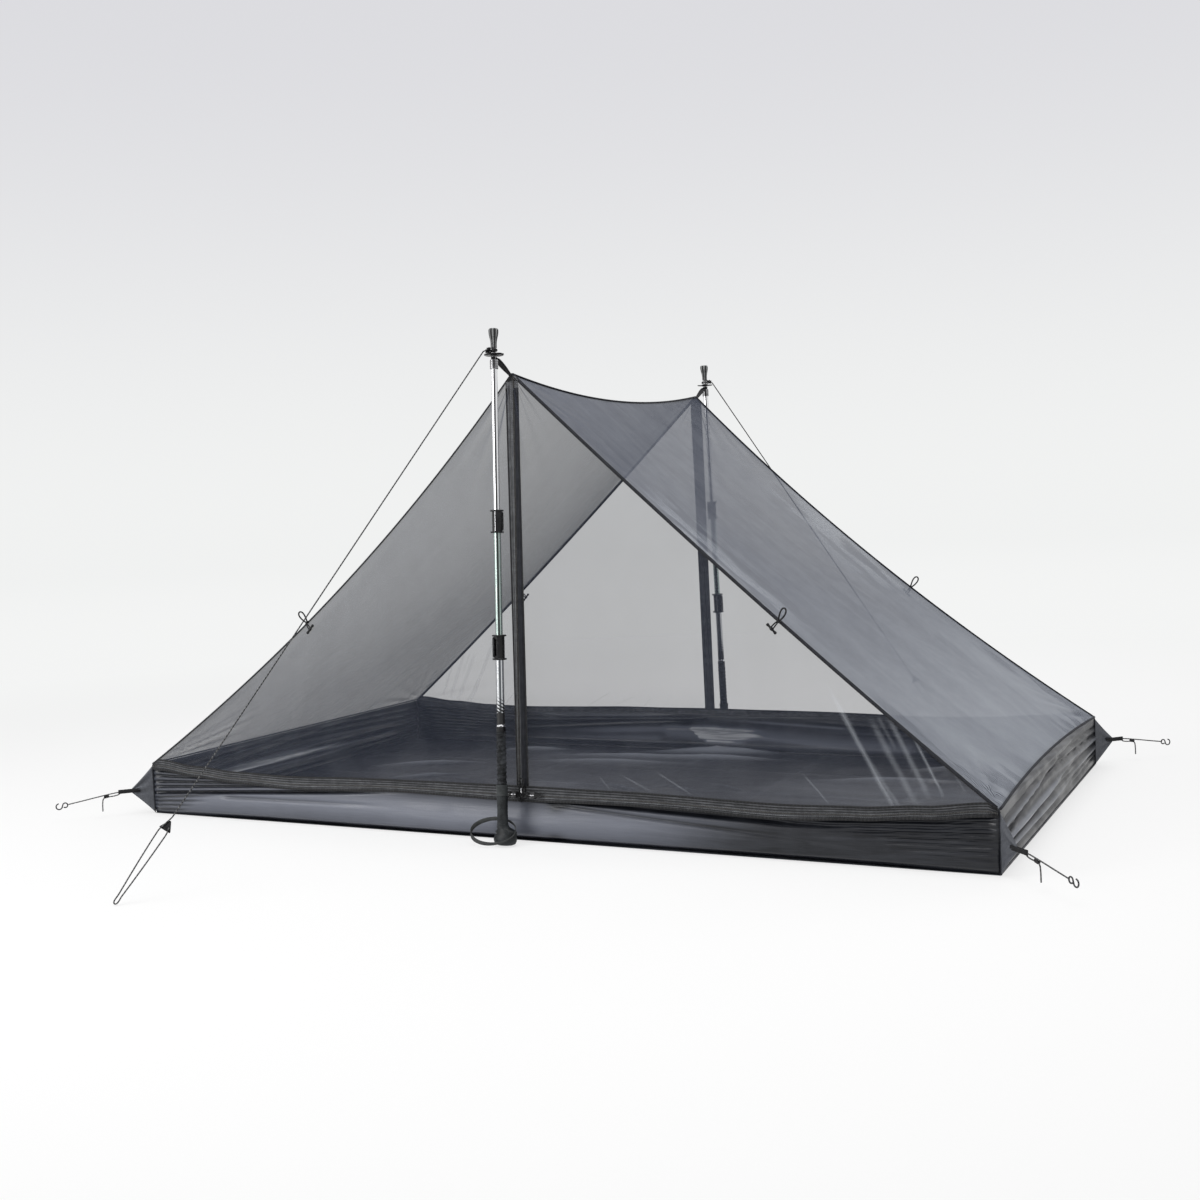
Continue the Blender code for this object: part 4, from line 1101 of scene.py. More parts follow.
# Lit places inside the rear wall and the left end wall, set out as the folds are
REAR_WALL_LIGHTS = (
    (-0.60, 0.022, -0.12, 0.040, 0.015, 0.008),
    (-0.40, 0.078, 0.02, 0.096, 0.004, 0.010),
    (0.10, 0.093, 0.46, 0.082, 0.004, 0.012),
    (0.00, 0.068, 0.62, 0.040, 0.008, 0.013),
    (0.02, 0.052, -0.45, 0.018, 0.006, 0.011),
    (0.09, 0.062, -0.16, 0.062, 0.0050, 0.050),
    (0.08, 0.049, -0.16, 0.048, 0.0050, 0.056),
    (0.07, 0.037, -0.13, 0.035, 0.0048, 0.046),
    (0.05, 0.026, -0.10, 0.023, 0.0042, 0.028),
    (0.20, 0.030, 0.75, 0.020, 0.010, 0.006),
    (0.18, 0.052, -0.34, 0.050, 0.018, 0.010),
    (0.16, 0.096, 0.70, 0.098, 0.010, 0.005),
    (1.06, 0.095, 0.40, 0.095, 0.012, 0.006),
    (-0.02, 0.114, -0.66, 0.114, 0.009, -0.006),
)
END_WALL_LIGHTS = {
    "left": ((-0.36, 0.0585, 0.36, 0.046, 0.0058, 0.070), (-0.20, 0.086, 0.40, 0.070, 0.0030, 0.006)),
    "right": (),
}
# How far an end wall's cloth runs up the slope
END_FLAPS = {"left": 0.0, "right": 0.017}
# Folds of an end wall: from y, z to y, z, half width and depth, deepest at their first end
END_WALL_FOLDS = (
    (-0.62, 0.066, 0.42, 0.136, 0.0036, -0.013),
    (0.62, 0.086, -0.42, 0.120, 0.0036, -0.012),
    (-0.62, 0.060, 0.30, 0.074, 0.0060, 0.012),
    (-0.62, 0.050, 0.46, 0.054, 0.0032, -0.011),
    (-0.62, 0.040, 0.40, 0.034, 0.0050, 0.009),
    (-0.62, 0.026, 0.26, 0.016, 0.0036, -0.009),
    (-0.62, 0.088, 0.10, 0.124, 0.0030, 0.008),
    (-0.62, 0.100, -0.05, 0.126, 0.0026, -0.010),
    (0.62, 0.104, -0.20, 0.128, 0.0030, -0.009),
    (0.62, 0.074, -0.20, 0.096, 0.0042, 0.005),
    (0.62, 0.062, -0.10, 0.070, 0.0032, -0.010),
    (0.62, 0.050, 0.00, 0.050, 0.0036, 0.005),
    (0.62, 0.038, 0.08, 0.032, 0.0032, -0.009),
    (0.62, 0.024, 0.16, 0.018, 0.0032, -0.007),
)


def make_long_wall(side, turn):
    """The upright wall under a door: a smooth belly, tucked in at its foot, wrinkled at its top and ends."""
    rows = []
    rise = []
    steps, levels = 260, 40
    seed = 1.0 if side == "front" else 7.0
    for level in range(levels + 1):
        row = []
        for step in range(steps + 1):
            x = -HALF_LENGTH + 2 * HALF_LENGTH * step / steps
            top = wall_top(x) + 0.002
            z = CLOTH_FOOT + (top - CLOTH_FOOT) * level / levels
            share = z / top
            from_end = HALF_LENGTH - abs(x)
            belly = WALL_BELLY * eased(z, 0.0, 0.020) * (1 - eased(z, 0.026, 0.088))
            broad = 0.0026 * uneven(x * 1.6, z * 18.0, seed)
            folds = folded(x, z, LONG_WALL_FOLDS)
            hold = eased(share, 0.0, 0.06) * eased(1 - share, 0.0, 0.05)
            hold *= eased(from_end, 0.0, 0.025)
            out = (belly + broad + folds) * hold
            tuck = (WALL_TUCK_AT_ENDS + WALL_TUCK * eased(from_end, 0.02, 0.40)) * (1 - eased(z, 0.0, 0.016))
            row.append(Vector((x, -HALF_WIDTH + 0.0005 - out + tuck, z)))
            # The tone is painted light and shade: painted light and shade on the folds and bulges, painted
            # highlights in the lit middle and its shine, painted shade in the fold near x 0.11 and along the
            # ground
            lit = eased(x, -1.95, -0.60) * (1 - eased(x, 0.28, 0.72))
            shine = exp(-((z - 0.050) / 0.034) ** 2)
            shade = 0.0065 * exp(-((x - 0.110) / 0.020) ** 2) * eased(abs(z - 0.045), 0.012, 0.040)
            foot = 0.0036 * (1 - eased(z, 0.002, 0.018))
            tone = folds * 1.5 + broad * 1.0 - 0.0086 + 0.0066 * lit + 0.0052 * lit * shine - shade - foot
            # Painted highlights inside the rear wall, with its lit middle toned down
            if side == "rear":
                tone += folded(x, z, REAR_WALL_LIGHTS) - 0.0048 * lit
            rise.append(tone)
        rows.append(row)
    wall = cloth("tub_wall_" + side, rows, WALL_CLOTH, turn, None, rise)
    thicken(wall, CLOTH_THICKNESS)
    dress(wall, "tent", "coated_cloth", "wall_" + side)


def make_end_wall(label, hand):
    """The upright wall at one end; its cloth runs a little way up the slope in the middle."""
    rows = []
    rise = []
    steps, levels = 150, 38
    reach = HALF_WIDTH - 0.0008
    flap = END_FLAPS[label]
    slope = Vector((-hand * HALF_LENGTH, 0, PEAK_HEIGHT - WALL_HEIGHT)).normalized()
    lift = Vector((hand * (PEAK_HEIGHT - WALL_HEIGHT), 0, HALF_LENGTH)).normalized() * 0.0016
    places = [-reach + 2 * reach * step / steps for step in range(steps + 1)]
    tops = [flap * max(0.0, 1 - (y / 0.60) ** 2) for y in places]
    for level in range(levels + 1):
        row = []
        for y in places:
            z = CLOTH_FOOT + (WALL_HEIGHT - CLOTH_FOOT) * level / levels
            share = z / WALL_HEIGHT
            broad = 0.0035 * uneven(y * 2.4, z * 24.0, 5.0 + hand)
            folds = folded(y, z, END_WALL_FOLDS)
            hold = eased(share, 0.0, 0.06) * eased(1 - share, 0.0, 0.06)
            hold *= eased(HALF_WIDTH - abs(y), 0.0, 0.012)
            out = (broad + folds) * hold
            x = hand * (HALF_LENGTH - 0.0005 + out - 0.004 * (1 - eased(z, 0.0, 0.010)))
            row.append(Vector((x, y, z)))
            # Painted light and shade on the folds, with painted highlights from the end wall's lit places
            rise.append(folds * 1.9 + broad * 0.6 - 0.0082 + folded(y, z, END_WALL_LIGHTS[label]))
        rows.append(row)
    if flap:
        for level in range(1, 7):
            row = []
            for y, top in zip(places, tops):
                ripple = 0.0012 * sin(y * 42 + level)
                base = Vector((hand * HALF_LENGTH, y, WALL_HEIGHT))
                row.append(base + slope * (0.001 + top) * level / 6 + lift * (1 + ripple * 300))
                # Painted highlights on the ripples' crests
                rise.append(-0.0070 + 2.0 * ripple)
            rows.append(row)
    wall = cloth("tub_wall_" + label, rows, END_CLOTH, None, None, rise)
    thicken(wall, CLOTH_THICKNESS)
    dress(wall, "tent", "coated_cloth", "wall_" + label)
    edge = [Vector((hand * HALF_LENGTH, y, WALL_HEIGHT)) + slope * (top + 0.001) + lift * 1.6
            for y, top in zip(places[::3], tops[::3])]
    binding = swept("end_wall_binding_" + label, edge, band(0.0028, 0.0018), BINDING, None,
                    lift.normalized())
    dress(binding, "tent", "seam_tape")
    for end in (-1, 1):
        edge = [Vector((hand * HALF_LENGTH, end * HALF_WIDTH, 0.002 + (WALL_HEIGHT - 0.004) * step / 12))
                for step in range(13)]
        out = Vector((hand, end, 0)).normalized()
        place = ("front_" if end < 0 else "rear_") + label
        piping = swept("corner_binding_" + place, edge, oval(0.0016, 0.0014, 10, 0.0006), BINDING, None, out)
        dress(piping, "tent", "seam_tape")


# Wrinkles of the floor, painted paler on their crests as highlights: from x, y to x, y, half width and
# height
FLOOR_WRINKLES = (
    (-0.30, 0.50, 0.30, 0.585, 0.016, 0.014),
    (-0.15, 0.42, 0.34, 0.50, 0.014, 0.012),
    (0.30, 0.58, -0.30, 0.53, 0.012, 0.012),
    (0.12, 0.46, -0.52, 0.40, 0.013, 0.011),
    (-0.55, 0.30, 0.10, 0.37, 0.016, 0.010),
    (-0.72, 0.44, -0.40, 0.52, 0.012, 0.011),
    (-0.95, 0.10, -0.55, 0.28, 0.014, 0.012),
    (-0.80, -0.10, -0.50, 0.12, 0.010, 0.009),
    (0.60, 0.40, 0.95, 0.52, 0.016, 0.012),
    (0.40, 0.20, 0.90, 0.30, 0.018, 0.010),
    (-0.12, 0.05, 0.10, -0.08, 0.006, 0.007),
    (0.02, 0.09, 0.26, -0.06, 0.006, 0.007),
    (0.16, 0.13, 0.36, 0.00, 0.006, 0.006),
    (0.50, -0.20, 0.90, -0.05, 0.014, 0.009),
    (-1.00, -0.30, -0.60, -0.20, 0.014, 0.010),
)


def floor_rise(x, y):
    """Height of the floor sheet's wrinkles, with the creases of its folded pack."""
    broad = max(0.0, uneven(x * 2.1, y * 3.4, 2.0))
    fine = uneven(x * 14.0, y * 19.0, 8.0)
    crease = 0.0
    for line in (-0.73, -0.37, 0.02, 0.36, 0.74):
        crease += 0.0016 * exp(-((x - line) / 0.010) ** 2)
    for line in (-0.31, 0.01, 0.30):
        crease += 0.0016 * exp(-((y - line) / 0.010) ** 2)
    edge = eased(HALF_LENGTH - abs(x), 0.0, 0.05) * eased(HALF_WIDTH - abs(y), 0.0, 0.05)
    return (0.007 * broad + 0.0008 * (fine + 1) + crease + folded(x, y, FLOOR_WRINKLES, True)) * edge


def make_floor():
    rows = []
    rise = []
    lengthwise, widthwise = 240, 150
    for down in range(widthwise + 1):
        y = -HALF_WIDTH + 2 * HALF_WIDTH * down / widthwise
        row = []
        for step in range(lengthwise + 1):
            x = -HALF_LENGTH + 2 * HALF_LENGTH * step / lengthwise
            height = floor_rise(x, y)
            row.append(Vector((x, y, CLOTH_FOOT + height)))
            # Painted light: the near, front-right part of the floor is painted paler, with painted highlight
            # ripples; the whole floor is also painted paler on its wrinkles' crests
            worn = eased(x - 0.5 * y, 0.15, 0.75) * (1 - eased(y, 0.04, 0.24))
            waver = 5 * uneven(x * 3, y * 6, 1.0)
            ripple = 0.0022 * sin(y * 95 + waver)
            rise.append(1.8 * height - 0.0150 + (0.0085 + ripple) * worn)
        rows.append(row)
    floor = cloth("tub_floor", rows, FLOOR_SHEET, None, None, rise)
    thicken(floor, CLOTH_THICKNESS)
    dress(floor, "tent", "coated_cloth", "floor")


def make_seam_binding(side, label, hand, turn):
    """The folded tape over a seam, from a peak to a corner, with the dark thread along both its edges."""
    steps = 64
    path = [seam_at(hand, 0.003 + 0.992 * step / steps) for step in range(steps + 1)]
    out = (OUT_OF_DOOR + Vector((hand * PANEL_OUT_X, 0, PANEL_OUT_Z))).normalized()
    place = side + "_" + label
    piece = swept("seam_binding_" + place, path, oval(0.0034, 0.0016, 10, 0.0006), BINDING, turn, out)
    dress(piece, "tent", "seam_tape", "seam_" + place)
    for number, shift in enumerate((-1, 1)):
        edge = [point + side_way * shift * 0.0033 + lift * 0.0006
                for point, (_, side_way, lift) in zip(path, path_frames(path, out))]
        thread = swept("seam_piping_%s_%d" % (place, number), edge, round_cord(0.0010), ELASTIC, turn, out)
        dress(thread, "tent", "seam_tape")


def make_ridge_binding():
    steps = 40
    path = [ridge_at(0.002 + 0.996 * step / steps) for step in range(steps + 1)]
    piece = swept("ridge_binding", path, oval(0.0045, 0.0022, 10, 0.0006), BINDING, None, UP)
    dress(piece, "tent", "seam_tape", "ridge_tape")


def make_upright_zip(side, turn):
    """Both halves of the upright zip: tapes whose outer edges drift, and a coil in two halves."""
    top, foot = PEAK_HEIGHT - 0.006, base_height(0) + 0.001
    heights = [top - (top - foot) * step / 70 for step in range(71)]
    for label, hand in SIDE_HANDS[side]:
        start, end = hinge_span(hand, turn)
        half = side + "_" + label
        rows = []
        for z in heights:
            inner = zip_line(z) + hand * 0.0006
            outer = zip_edge(hand, z)
            narrow = eased(PEAK_HEIGHT - z, 0.0, 0.020)
            outer = inner + (outer - inner) * (0.35 + 0.65 * narrow)
            rows.append([on_face(inner + (outer - inner) * place / 6, z,
                                 0.0012 + 0.0006 * sin(place * 0.9)) for place in range(7)])
        tape = cloth("zip_half_" + half, rows, ZIP_TAPE, turn, None, None, True)
        thicken(tape, TAPE_THICKNESS)
        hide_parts("zip_tape_" + half)
        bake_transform(tape)
        path = [on_face(zip_line(z) + hand * 0.0011, z, 0.0024) for z in heights]
        lines = [("zip_coil_", path, oval(0.0011, COIL_RADIUS, 8), COIL)]
        path = [on_face(zip_edge(hand, z) - hand * 0.0016, z, 0.0020) for z in heights[2:]]
        lines.append(("zip_edge_", path, oval(0.0016, 0.0011, 8), ELASTIC))
        share, lift = (0.55, 0.0022) if hand > 0 else (0.50, 0.0020)
        path = [on_face((1 - share) * zip_line(z) + share * zip_edge(hand, z), z, lift) for z in heights[2:]]
        if hand > 0:
            lines.append(("zip_flap_", path, band(0.0070, 0.0014), BINDING))
        else:
            lines.append(("zip_stitch_", path, round_cord(0.0008), COIL))
        for title, path, outline, material in lines:
            line = swept(title + half, path, outline, material, turn, OUT_OF_DOOR)
            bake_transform(line)


def make_base_zip(side, turn):
    """The zip along the top of the long wall from corner to corner, its coil, and the tapes that bind it."""
    ends = HALF_LENGTH - 0.003
    xs = [-ends + 2 * ends * step / 120 for step in range(121)]

    def height(x, share):
        low, high = band_edges(x)
        high = min(high, WALL_HEIGHT + 0.725 * (HALF_LENGTH - abs(x)) + 0.0005)
        wave = 0.0010 * uneven(x * 5.0, share * 2.0, 6.0)
        return low + (high - low) * share + wave

    def stands(x, share):
        return 0.0046 - 0.0030 * share + 0.0008 * sin(x * 21 + share * 8)

    rows = []
    for level in range(13):
        rows.append([on_face(x, height(x, level / 12), stands(x, level / 12)) for x in xs])
    tape = cloth("base_zip_tape_" + side, rows, ZIP_TAPE, turn)
    thicken(tape, TAPE_THICKNESS)
    dress(tape, "tent", "zip_tape", "base_zip_" + side)
    lines = (("base_zip_coil_", 0.40, oval(0.0017, 0.0012, 8), COIL, 0.0012, "zip_tape"),
             ("wall_binding_", 0.04, oval(0.0026, 0.0012, 8), ELASTIC, 0.0006, "seam_tape"),
             ("wall_stitch_", 0.20, oval(0.0009, 0.0008, 8), ELASTIC, 0.0008, "seam_tape"),
             ("flap_stitch_", 0.58, oval(0.0009, 0.0008, 8), ELASTIC, 0.0010, "seam_tape"),
             ("flap_edge_", 0.76, oval(0.0012, 0.0008, 8), ELASTIC, 0.0008, "seam_tape"),
             ("door_hem_", 0.96, oval(0.0024, 0.0012, 8), ELASTIC, 0.0006, "seam_tape"))
    for title, share, outline, material, lift, slot in lines:
        path = [on_face(x, height(x, share), stands(x, share) + lift) for x in xs]
        dress(swept(title + side, path, outline, material, turn, OUT_OF_DOOR), "tent", slot)


def make_slider(name, place, along, across, turn, body, *nodes):
    """A zip slider with its bridge, a black cord pull above it and a tag below."""
    out = along.cross(across).normalized()
    if out.y > 0:
        across = -across
        out = -out
    body_outline = [(-0.0090, -0.0050), (-0.0062, -0.0074), (0.0040, -0.0086), (0.0092, -0.0058),
                    (0.0092, 0.0058), (0.0040, 0.0086), (-0.0062, 0.0074), (-0.0090, 0.0050)]
    piece = plate(name, body_outline, 0.0040, along, across, place + out * 0.0020, SLIDER_METAL, turn)
    dress(piece, body, "slider_metal", *nodes)
    arch = [place + along * 0.0065 * cos(t) + out * (0.0036 + 0.0038 * sin(t))
            for t in (pi * step / 10 for step in range(11))]
    dress(swept(name + "_bridge", arch, oval(0.0018, 0.0011, 8), BRIGHT, turn), body, "slider_metal")
    tab = [(-0.0090, -0.0040), (-0.0116, 0.0), (-0.0090, 0.0040), (0.0080, 0.0058), (0.0104, 0.0026),
           (0.0104, -0.0026), (0.0080, -0.0058)]
    pull = plate(name + "_pull", tab, 0.0018, along, across, place - along * 0.0160 + out * 0.0050,
                 PLASTIC, turn)
    dress(pull, body, "slider_metal")
    root = place + along * 0.0060 + out * 0.0062
    loop = []
    for step in range(33):
        angle = radians(-78 + 336 * step / 32 - 180)
        reach = along * (0.0105 - 0.0105 * cos(angle + pi))
        loop.append(root + reach + across * 0.0058 * sin(angle) + out * 0.0012 * sin(2 * angle))
    dress(swept(name + "_loop", loop, round_cord(0.0015), ELASTIC, turn), body, "slider_metal")


# Poles

def pole_turn(side):
    lean = Matrix.Translation((0, POLE_FOOT_Y, POLE_LIFT)) @ Matrix.Rotation(-POLE_ANGLE, 4, "X")
    return SIDE_TURNS[side] @ lean


def pole_point(height, x=0.0, y=0.0):
    """A point of the front pole's own frame, in the tent's frame."""
    across = y * cos(POLE_ANGLE) + height * sin(POLE_ANGLE)
    up = height * cos(POLE_ANGLE) - y * sin(POLE_ANGLE)
    return Vector((x, POLE_FOOT_Y + across, POLE_LIFT + up))


def profile_from(radius, height, *points):
    """Profile points that are given outward and upward from a radius and a height."""
    return [(radius + out, height + up) for out, up in points]


def make_grip(side, turn):
    """Pommel, handle, collar and ribbed foam, turned upside down."""
    body = "grip_body_" + side
    lip = (POMMEL_LIP + POMMEL_HALF_LENGTH - POMMEL_SHIFT) / 2 - 0.002
    lip_shift = POMMEL_LIP - lip
    rings = [
        (0.0002, 0.010, 0.008, POMMEL_SHIFT),
        (0.0006, POMMEL_HALF_LENGTH - 0.010, POMMEL_HALF_DEPTH - 0.007, POMMEL_SHIFT),
        (0.0030, POMMEL_HALF_LENGTH - 0.004, POMMEL_HALF_DEPTH - 0.003, POMMEL_SHIFT),
        (0.0080, POMMEL_HALF_LENGTH - 0.001, POMMEL_HALF_DEPTH - 0.0005, POMMEL_SHIFT),
        (0.0140, POMMEL_HALF_LENGTH, POMMEL_HALF_DEPTH, POMMEL_SHIFT),
        (0.0200, POMMEL_HALF_LENGTH - 0.0008, POMMEL_HALF_DEPTH - 0.0022, POMMEL_SHIFT + 0.001),
        (0.0260, lip - 0.002, HANDLE_RADIUS + 0.003, lip_shift + 0.0012),
        (0.0300, lip, HANDLE_RADIUS + 0.002, lip_shift),
        (0.0335, lip - 0.003, HANDLE_RADIUS + 0.0014, lip_shift - 0.0006),
        (0.0370, lip - 0.009, HANDLE_RADIUS + 0.0006, lip_shift - 0.003),
        (0.0400, HANDLE_RADIUS + 0.003, HANDLE_RADIUS, 0.0012),
        (0.0450, HANDLE_RADIUS, HANDLE_RADIUS - 0.0005, 0.0),
        (0.0450, GRIP_BORE, GRIP_BORE, 0.0),
        (POMMEL_FLOOR, GRIP_BORE, GRIP_BORE, 0.0),
    ]
    dress(lofted("pommel_" + side, rings, HANDLE_RUBBER, turn, 48), body, "foam")
    rings = [(HANDLE_FOOT, GRIP_BORE, GRIP_BORE, 0.0),
             (HANDLE_FOOT, HANDLE_RADIUS - 0.0004, HANDLE_RADIUS - 0.0008, 0.0)]
    for step in range(1, 24):
        height = HANDLE_FOOT + (HANDLE_TOP - HANDLE_FOOT) * step / 24
        waist = 0.0010 * sin(pi * step / 24) + 0.0004 * cos(step * 2.6)
        rings.append((height, HANDLE_RADIUS - waist, HANDLE_RADIUS - waist - 0.0003, 0.0))
    rings.append((HANDLE_TOP - 0.0010, HANDLE_RADIUS - 0.0006, HANDLE_RADIUS - 0.0006, 0.0))
    rings.append((HANDLE_TOP, HANDLE_RADIUS - 0.0012, HANDLE_RADIUS - 0.0012, 0.0))
    rings.append((HANDLE_TOP, GRIP_BORE, GRIP_BORE, 0.0))

    def flutes(ring, angle):
        middle = 1 - abs(ring - 12) / 12
        return 1 - 0.045 * max(0.0, middle) * max(0.0, cos(6 * angle)) ** 4, 0.0

    handle = lofted("handle_" + side, rings, HANDLE_RUBBER, turn, 60, open_ends=True, shape=flutes)
    dress(handle, body, "foam", "grip_" + side)
    profile = profile_from(HANDLE_RADIUS, HANDLE_TOP, (-0.0004, 0.0001), (0.0006, 0.0010), (0.0006, 0.0045),
                           (-0.0002, 0.0055))
    profile += profile_from(HANDLE_RADIUS, COLLAR_TOP, (-0.0002, -0.0060), (0.0004, -0.0050),
                            (0.0002, -0.0015), (-0.0012, 0.0))
    dress(turned("collar_" + side, profile, COLLAR_RUBBER, turn, open_ends=True), body, "foam")
    steps = FOAM_RIBS * 12
    profile = [(GRIP_RADIUS - 0.0016, COLLAR_TOP)]
    for step in range(steps + 1):
        share = step / steps
        wave = sin(tau * FOAM_RIBS * share)
        ends = eased(share, 0.0, 0.02) * eased(1 - share, 0.0, 0.02)
        profile.append((GRIP_RADIUS - 0.0005 + 0.0008 * wave * ends,
                        COLLAR_TOP + 0.0016 + (GRIP_LENGTH - COLLAR_TOP - 0.0032) * share))
    profile.append((GRIP_RADIUS - 0.0016, GRIP_LENGTH))

    def slant(ring, angle):
        inside = 0 < ring < steps + 2
        ends = eased(ring, 2, 16) * eased(steps - ring, 0, 14)
        return 1.0, 0.0030 * cos(angle) * ends if inside else 0.0

    dress(turned("foam_" + side, profile, FOAM, turn, open_ends=True, shape=slant), body, "foam")


def make_lock(name, radius, base, length, body, turn):
    """The clamp body on a tube's end: a split spool with two flanges."""
    core = radius + LOCK_WALL
    flange = core + LEVER_THICKNESS + LEVER_GAP
    top = base + length
    profile = [
        (radius + 0.0006, base), (flange - 0.0012, base), (flange, base + 0.0010),
        (flange, base + LOCK_FLANGE - 0.0006), (flange - 0.0006, base + LOCK_FLANGE),
        (core + 0.0005, base + LOCK_FLANGE), (core, base + LOCK_FLANGE + 0.0005),
        (core, top - LOCK_FLANGE - 0.0005), (core + 0.0005, top - LOCK_FLANGE),
        (flange - 0.0006, top - LOCK_FLANGE), (flange, top - LOCK_FLANGE + 0.0006),
        (flange, top - 0.0010), (flange - 0.0012, top), (radius - 0.0004, top)]
    dress(turned(name, profile, PLASTIC, turn, open_ends=True), body, "black_plastic")


def make_lever(name, radius, base, length, start, body, turn, node):
    """A clamp lever bent round its spool, with a finger tab on its free end."""
    half = LEVER_THICKNESS / 2
    arm = radius + LOCK_WALL + LEVER_GAP + half
    low = base + LOCK_FLANGE + 0.0004
    high = base + length - LOCK_FLANGE - 0.0004
    points = []
    stations = 18
    tall = high - low
    for step in range(stations + 1):
        share = step / stations
        angle = start + LEVER_SWEEP * share
        flare = 0.0016 * eased(share, 0.82, 1.0)
        thick = half * (1.0 - 0.25 * share)
        lean = 0.10 * tall * eased(share, 0.3, 1.0)
        ring = [(arm - thick + flare, low + lean), (arm + thick - 0.0008 + flare, low + lean),
                (arm + thick + flare - 0.0002, low + lean + 0.0014),
                (arm + thick + flare - 0.0002, high - lean - 0.0014),
                (arm + thick - 0.0008 + flare, high - lean), (arm - thick + flare, high - lean)]
        for reach, height in ring:
            points.append(heading_at(angle) * reach + UP * height)
    faces = []
    for step in range(stations):
        for number in range(6):
            after = (number + 1) % 6
            faces.append((step * 6 + number, (step + 1) * 6 + number,
                          (step + 1) * 6 + after, step * 6 + after))
    faces.append(tuple(range(6)))
    faces.append(tuple(stations * 6 + number for number in range(6))[::-1])
    lever = add_piece(name, points, faces, PLASTIC, turn, sharp=FLAT_SHARP_ANGLE)
    dress(lever, body, "black_plastic", node)
    pin_place = heading_at(start) * arm
    profile = [(0.0010, low - 0.0002), (0.0014, low + 0.0002),
               (0.0014, high - 0.0002), (0.0010, high + 0.0002)]
    pin = turned(name + "_pin", profile, BRIGHT, turn @ Matrix.Translation(pin_place), 16)
    dress(pin, body, "black_plastic")


def make_clamp(level, side, radius, base, length, start, body, turn):
    """A tube's lock with its lever, whose hinge stands at the start angle."""
    make_lock(level + "_clamp_" + side, radius, base, length, body, turn)
    make_lever("clamp_lever_" + level + "_" + side, radius, base, length, start,
               level + "_lever_body_" + side, turn, level + "_lever_" + side)


def hollow_tube(name, radius, foot, edge, start, top, steps, material, turn):
    """A thin tube: narrow at its foot, full width from the edge on, evenly ringed from the start on."""
    profile = [(radius - TUBE_WALL, foot), (radius, edge)]
    profile += [(radius, start + (top - start) * step / steps) for step in range(steps + 1)]
    profile.append((radius - TUBE_WALL, top))
    return turned(name, profile, material, turn, 48, open_ends=True)


def make_tubes(side, turn):
    """The three tubes of a pole, with their rings, clamps and levers."""
    grip_body = "grip_body_" + side
    middle_body = "middle_section_body_" + side
    tube = hollow_tube("grip_tube_" + side, UPPER_RADIUS, GRIP_LENGTH - 0.010, GRIP_LENGTH - 0.0095,
                       GRIP_LENGTH, LOWER_LOCK_BASE, 24, STRIPED, turn)
    dress(tube, grip_body, "silver_tube", "grip_section_" + side)
    profile = profile_from(UPPER_RADIUS, GRIP_LENGTH, (0.0004, 0.0002), (0.0018, 0.0010), (0.0018, 0.0100),
                           (0.0006, 0.0112))
    dress(turned("foam_band_" + side, profile, PLASTIC, turn, open_ends=True), grip_body, "black_plastic")
    profile = profile_from(UPPER_RADIUS, GRIP_LENGTH, (0.0002, 0.0113), (0.0010, 0.0120))
    profile += profile_from(UPPER_RADIUS, BAND_TOP, (0.0010, -0.0008), (0.0002, 0.0))
    dress(turned("silver_ring_" + side, profile, BRIGHT, turn, open_ends=True), grip_body, "silver_tube")
    make_clamp("lower", side, UPPER_RADIUS, LOWER_LOCK_BASE, LOWER_LOCK_LENGTH, LOWER_LEVER_START,
               grip_body, turn)
    tube = hollow_tube("middle_tube_" + side, MIDDLE_RADIUS, MIDDLE_TUBE_FOOT, MIDDLE_TUBE_FOOT + 0.0006,
                       MIDDLE_TUBE_FOOT + 0.001, UPPER_LOCK_BASE, 30, GREY_GREEN, turn)
    dress(tube, middle_body, "grey_green_tube", "middle_section_" + side)
    make_clamp("upper", side, MIDDLE_RADIUS, UPPER_LOCK_BASE, UPPER_LOCK_LENGTH, UPPER_LEVER_START,
               middle_body, turn)
    tube = hollow_tube("tip_tube_" + side, TIP_RADIUS, TIP_TUBE_FOOT, TIP_TUBE_FOOT + 0.0006,
                       TIP_TUBE_FOOT + 0.001, FERRULE_BASE, 30, POLISHED, turn)
    dress(tube, "tent", "polished_tube", "tip_section_" + side)
    profile = [(TIP_RADIUS + 0.0002, FERRULE_BASE - 0.0002), (FERRULE_RADIUS - 0.0008, FERRULE_BASE)]
    for step in range(5):
        profile += profile_from(FERRULE_RADIUS, FERRULE_BASE + 0.001 + step * 0.0040,
                                (0.0, 0.0), (0.0, 0.0022), (-0.0009, 0.0027), (-0.0009, 0.0034))
    profile += [(FERRULE_RADIUS - 0.001, NECK_BASE - 0.0004), (NECK_RADIUS, NECK_BASE),
                (NECK_RADIUS, COVER_BASE + 0.001)]
    dress(turned("ferrule_" + side, profile, FERRULE_METAL, turn), "tent", "polished_tube")


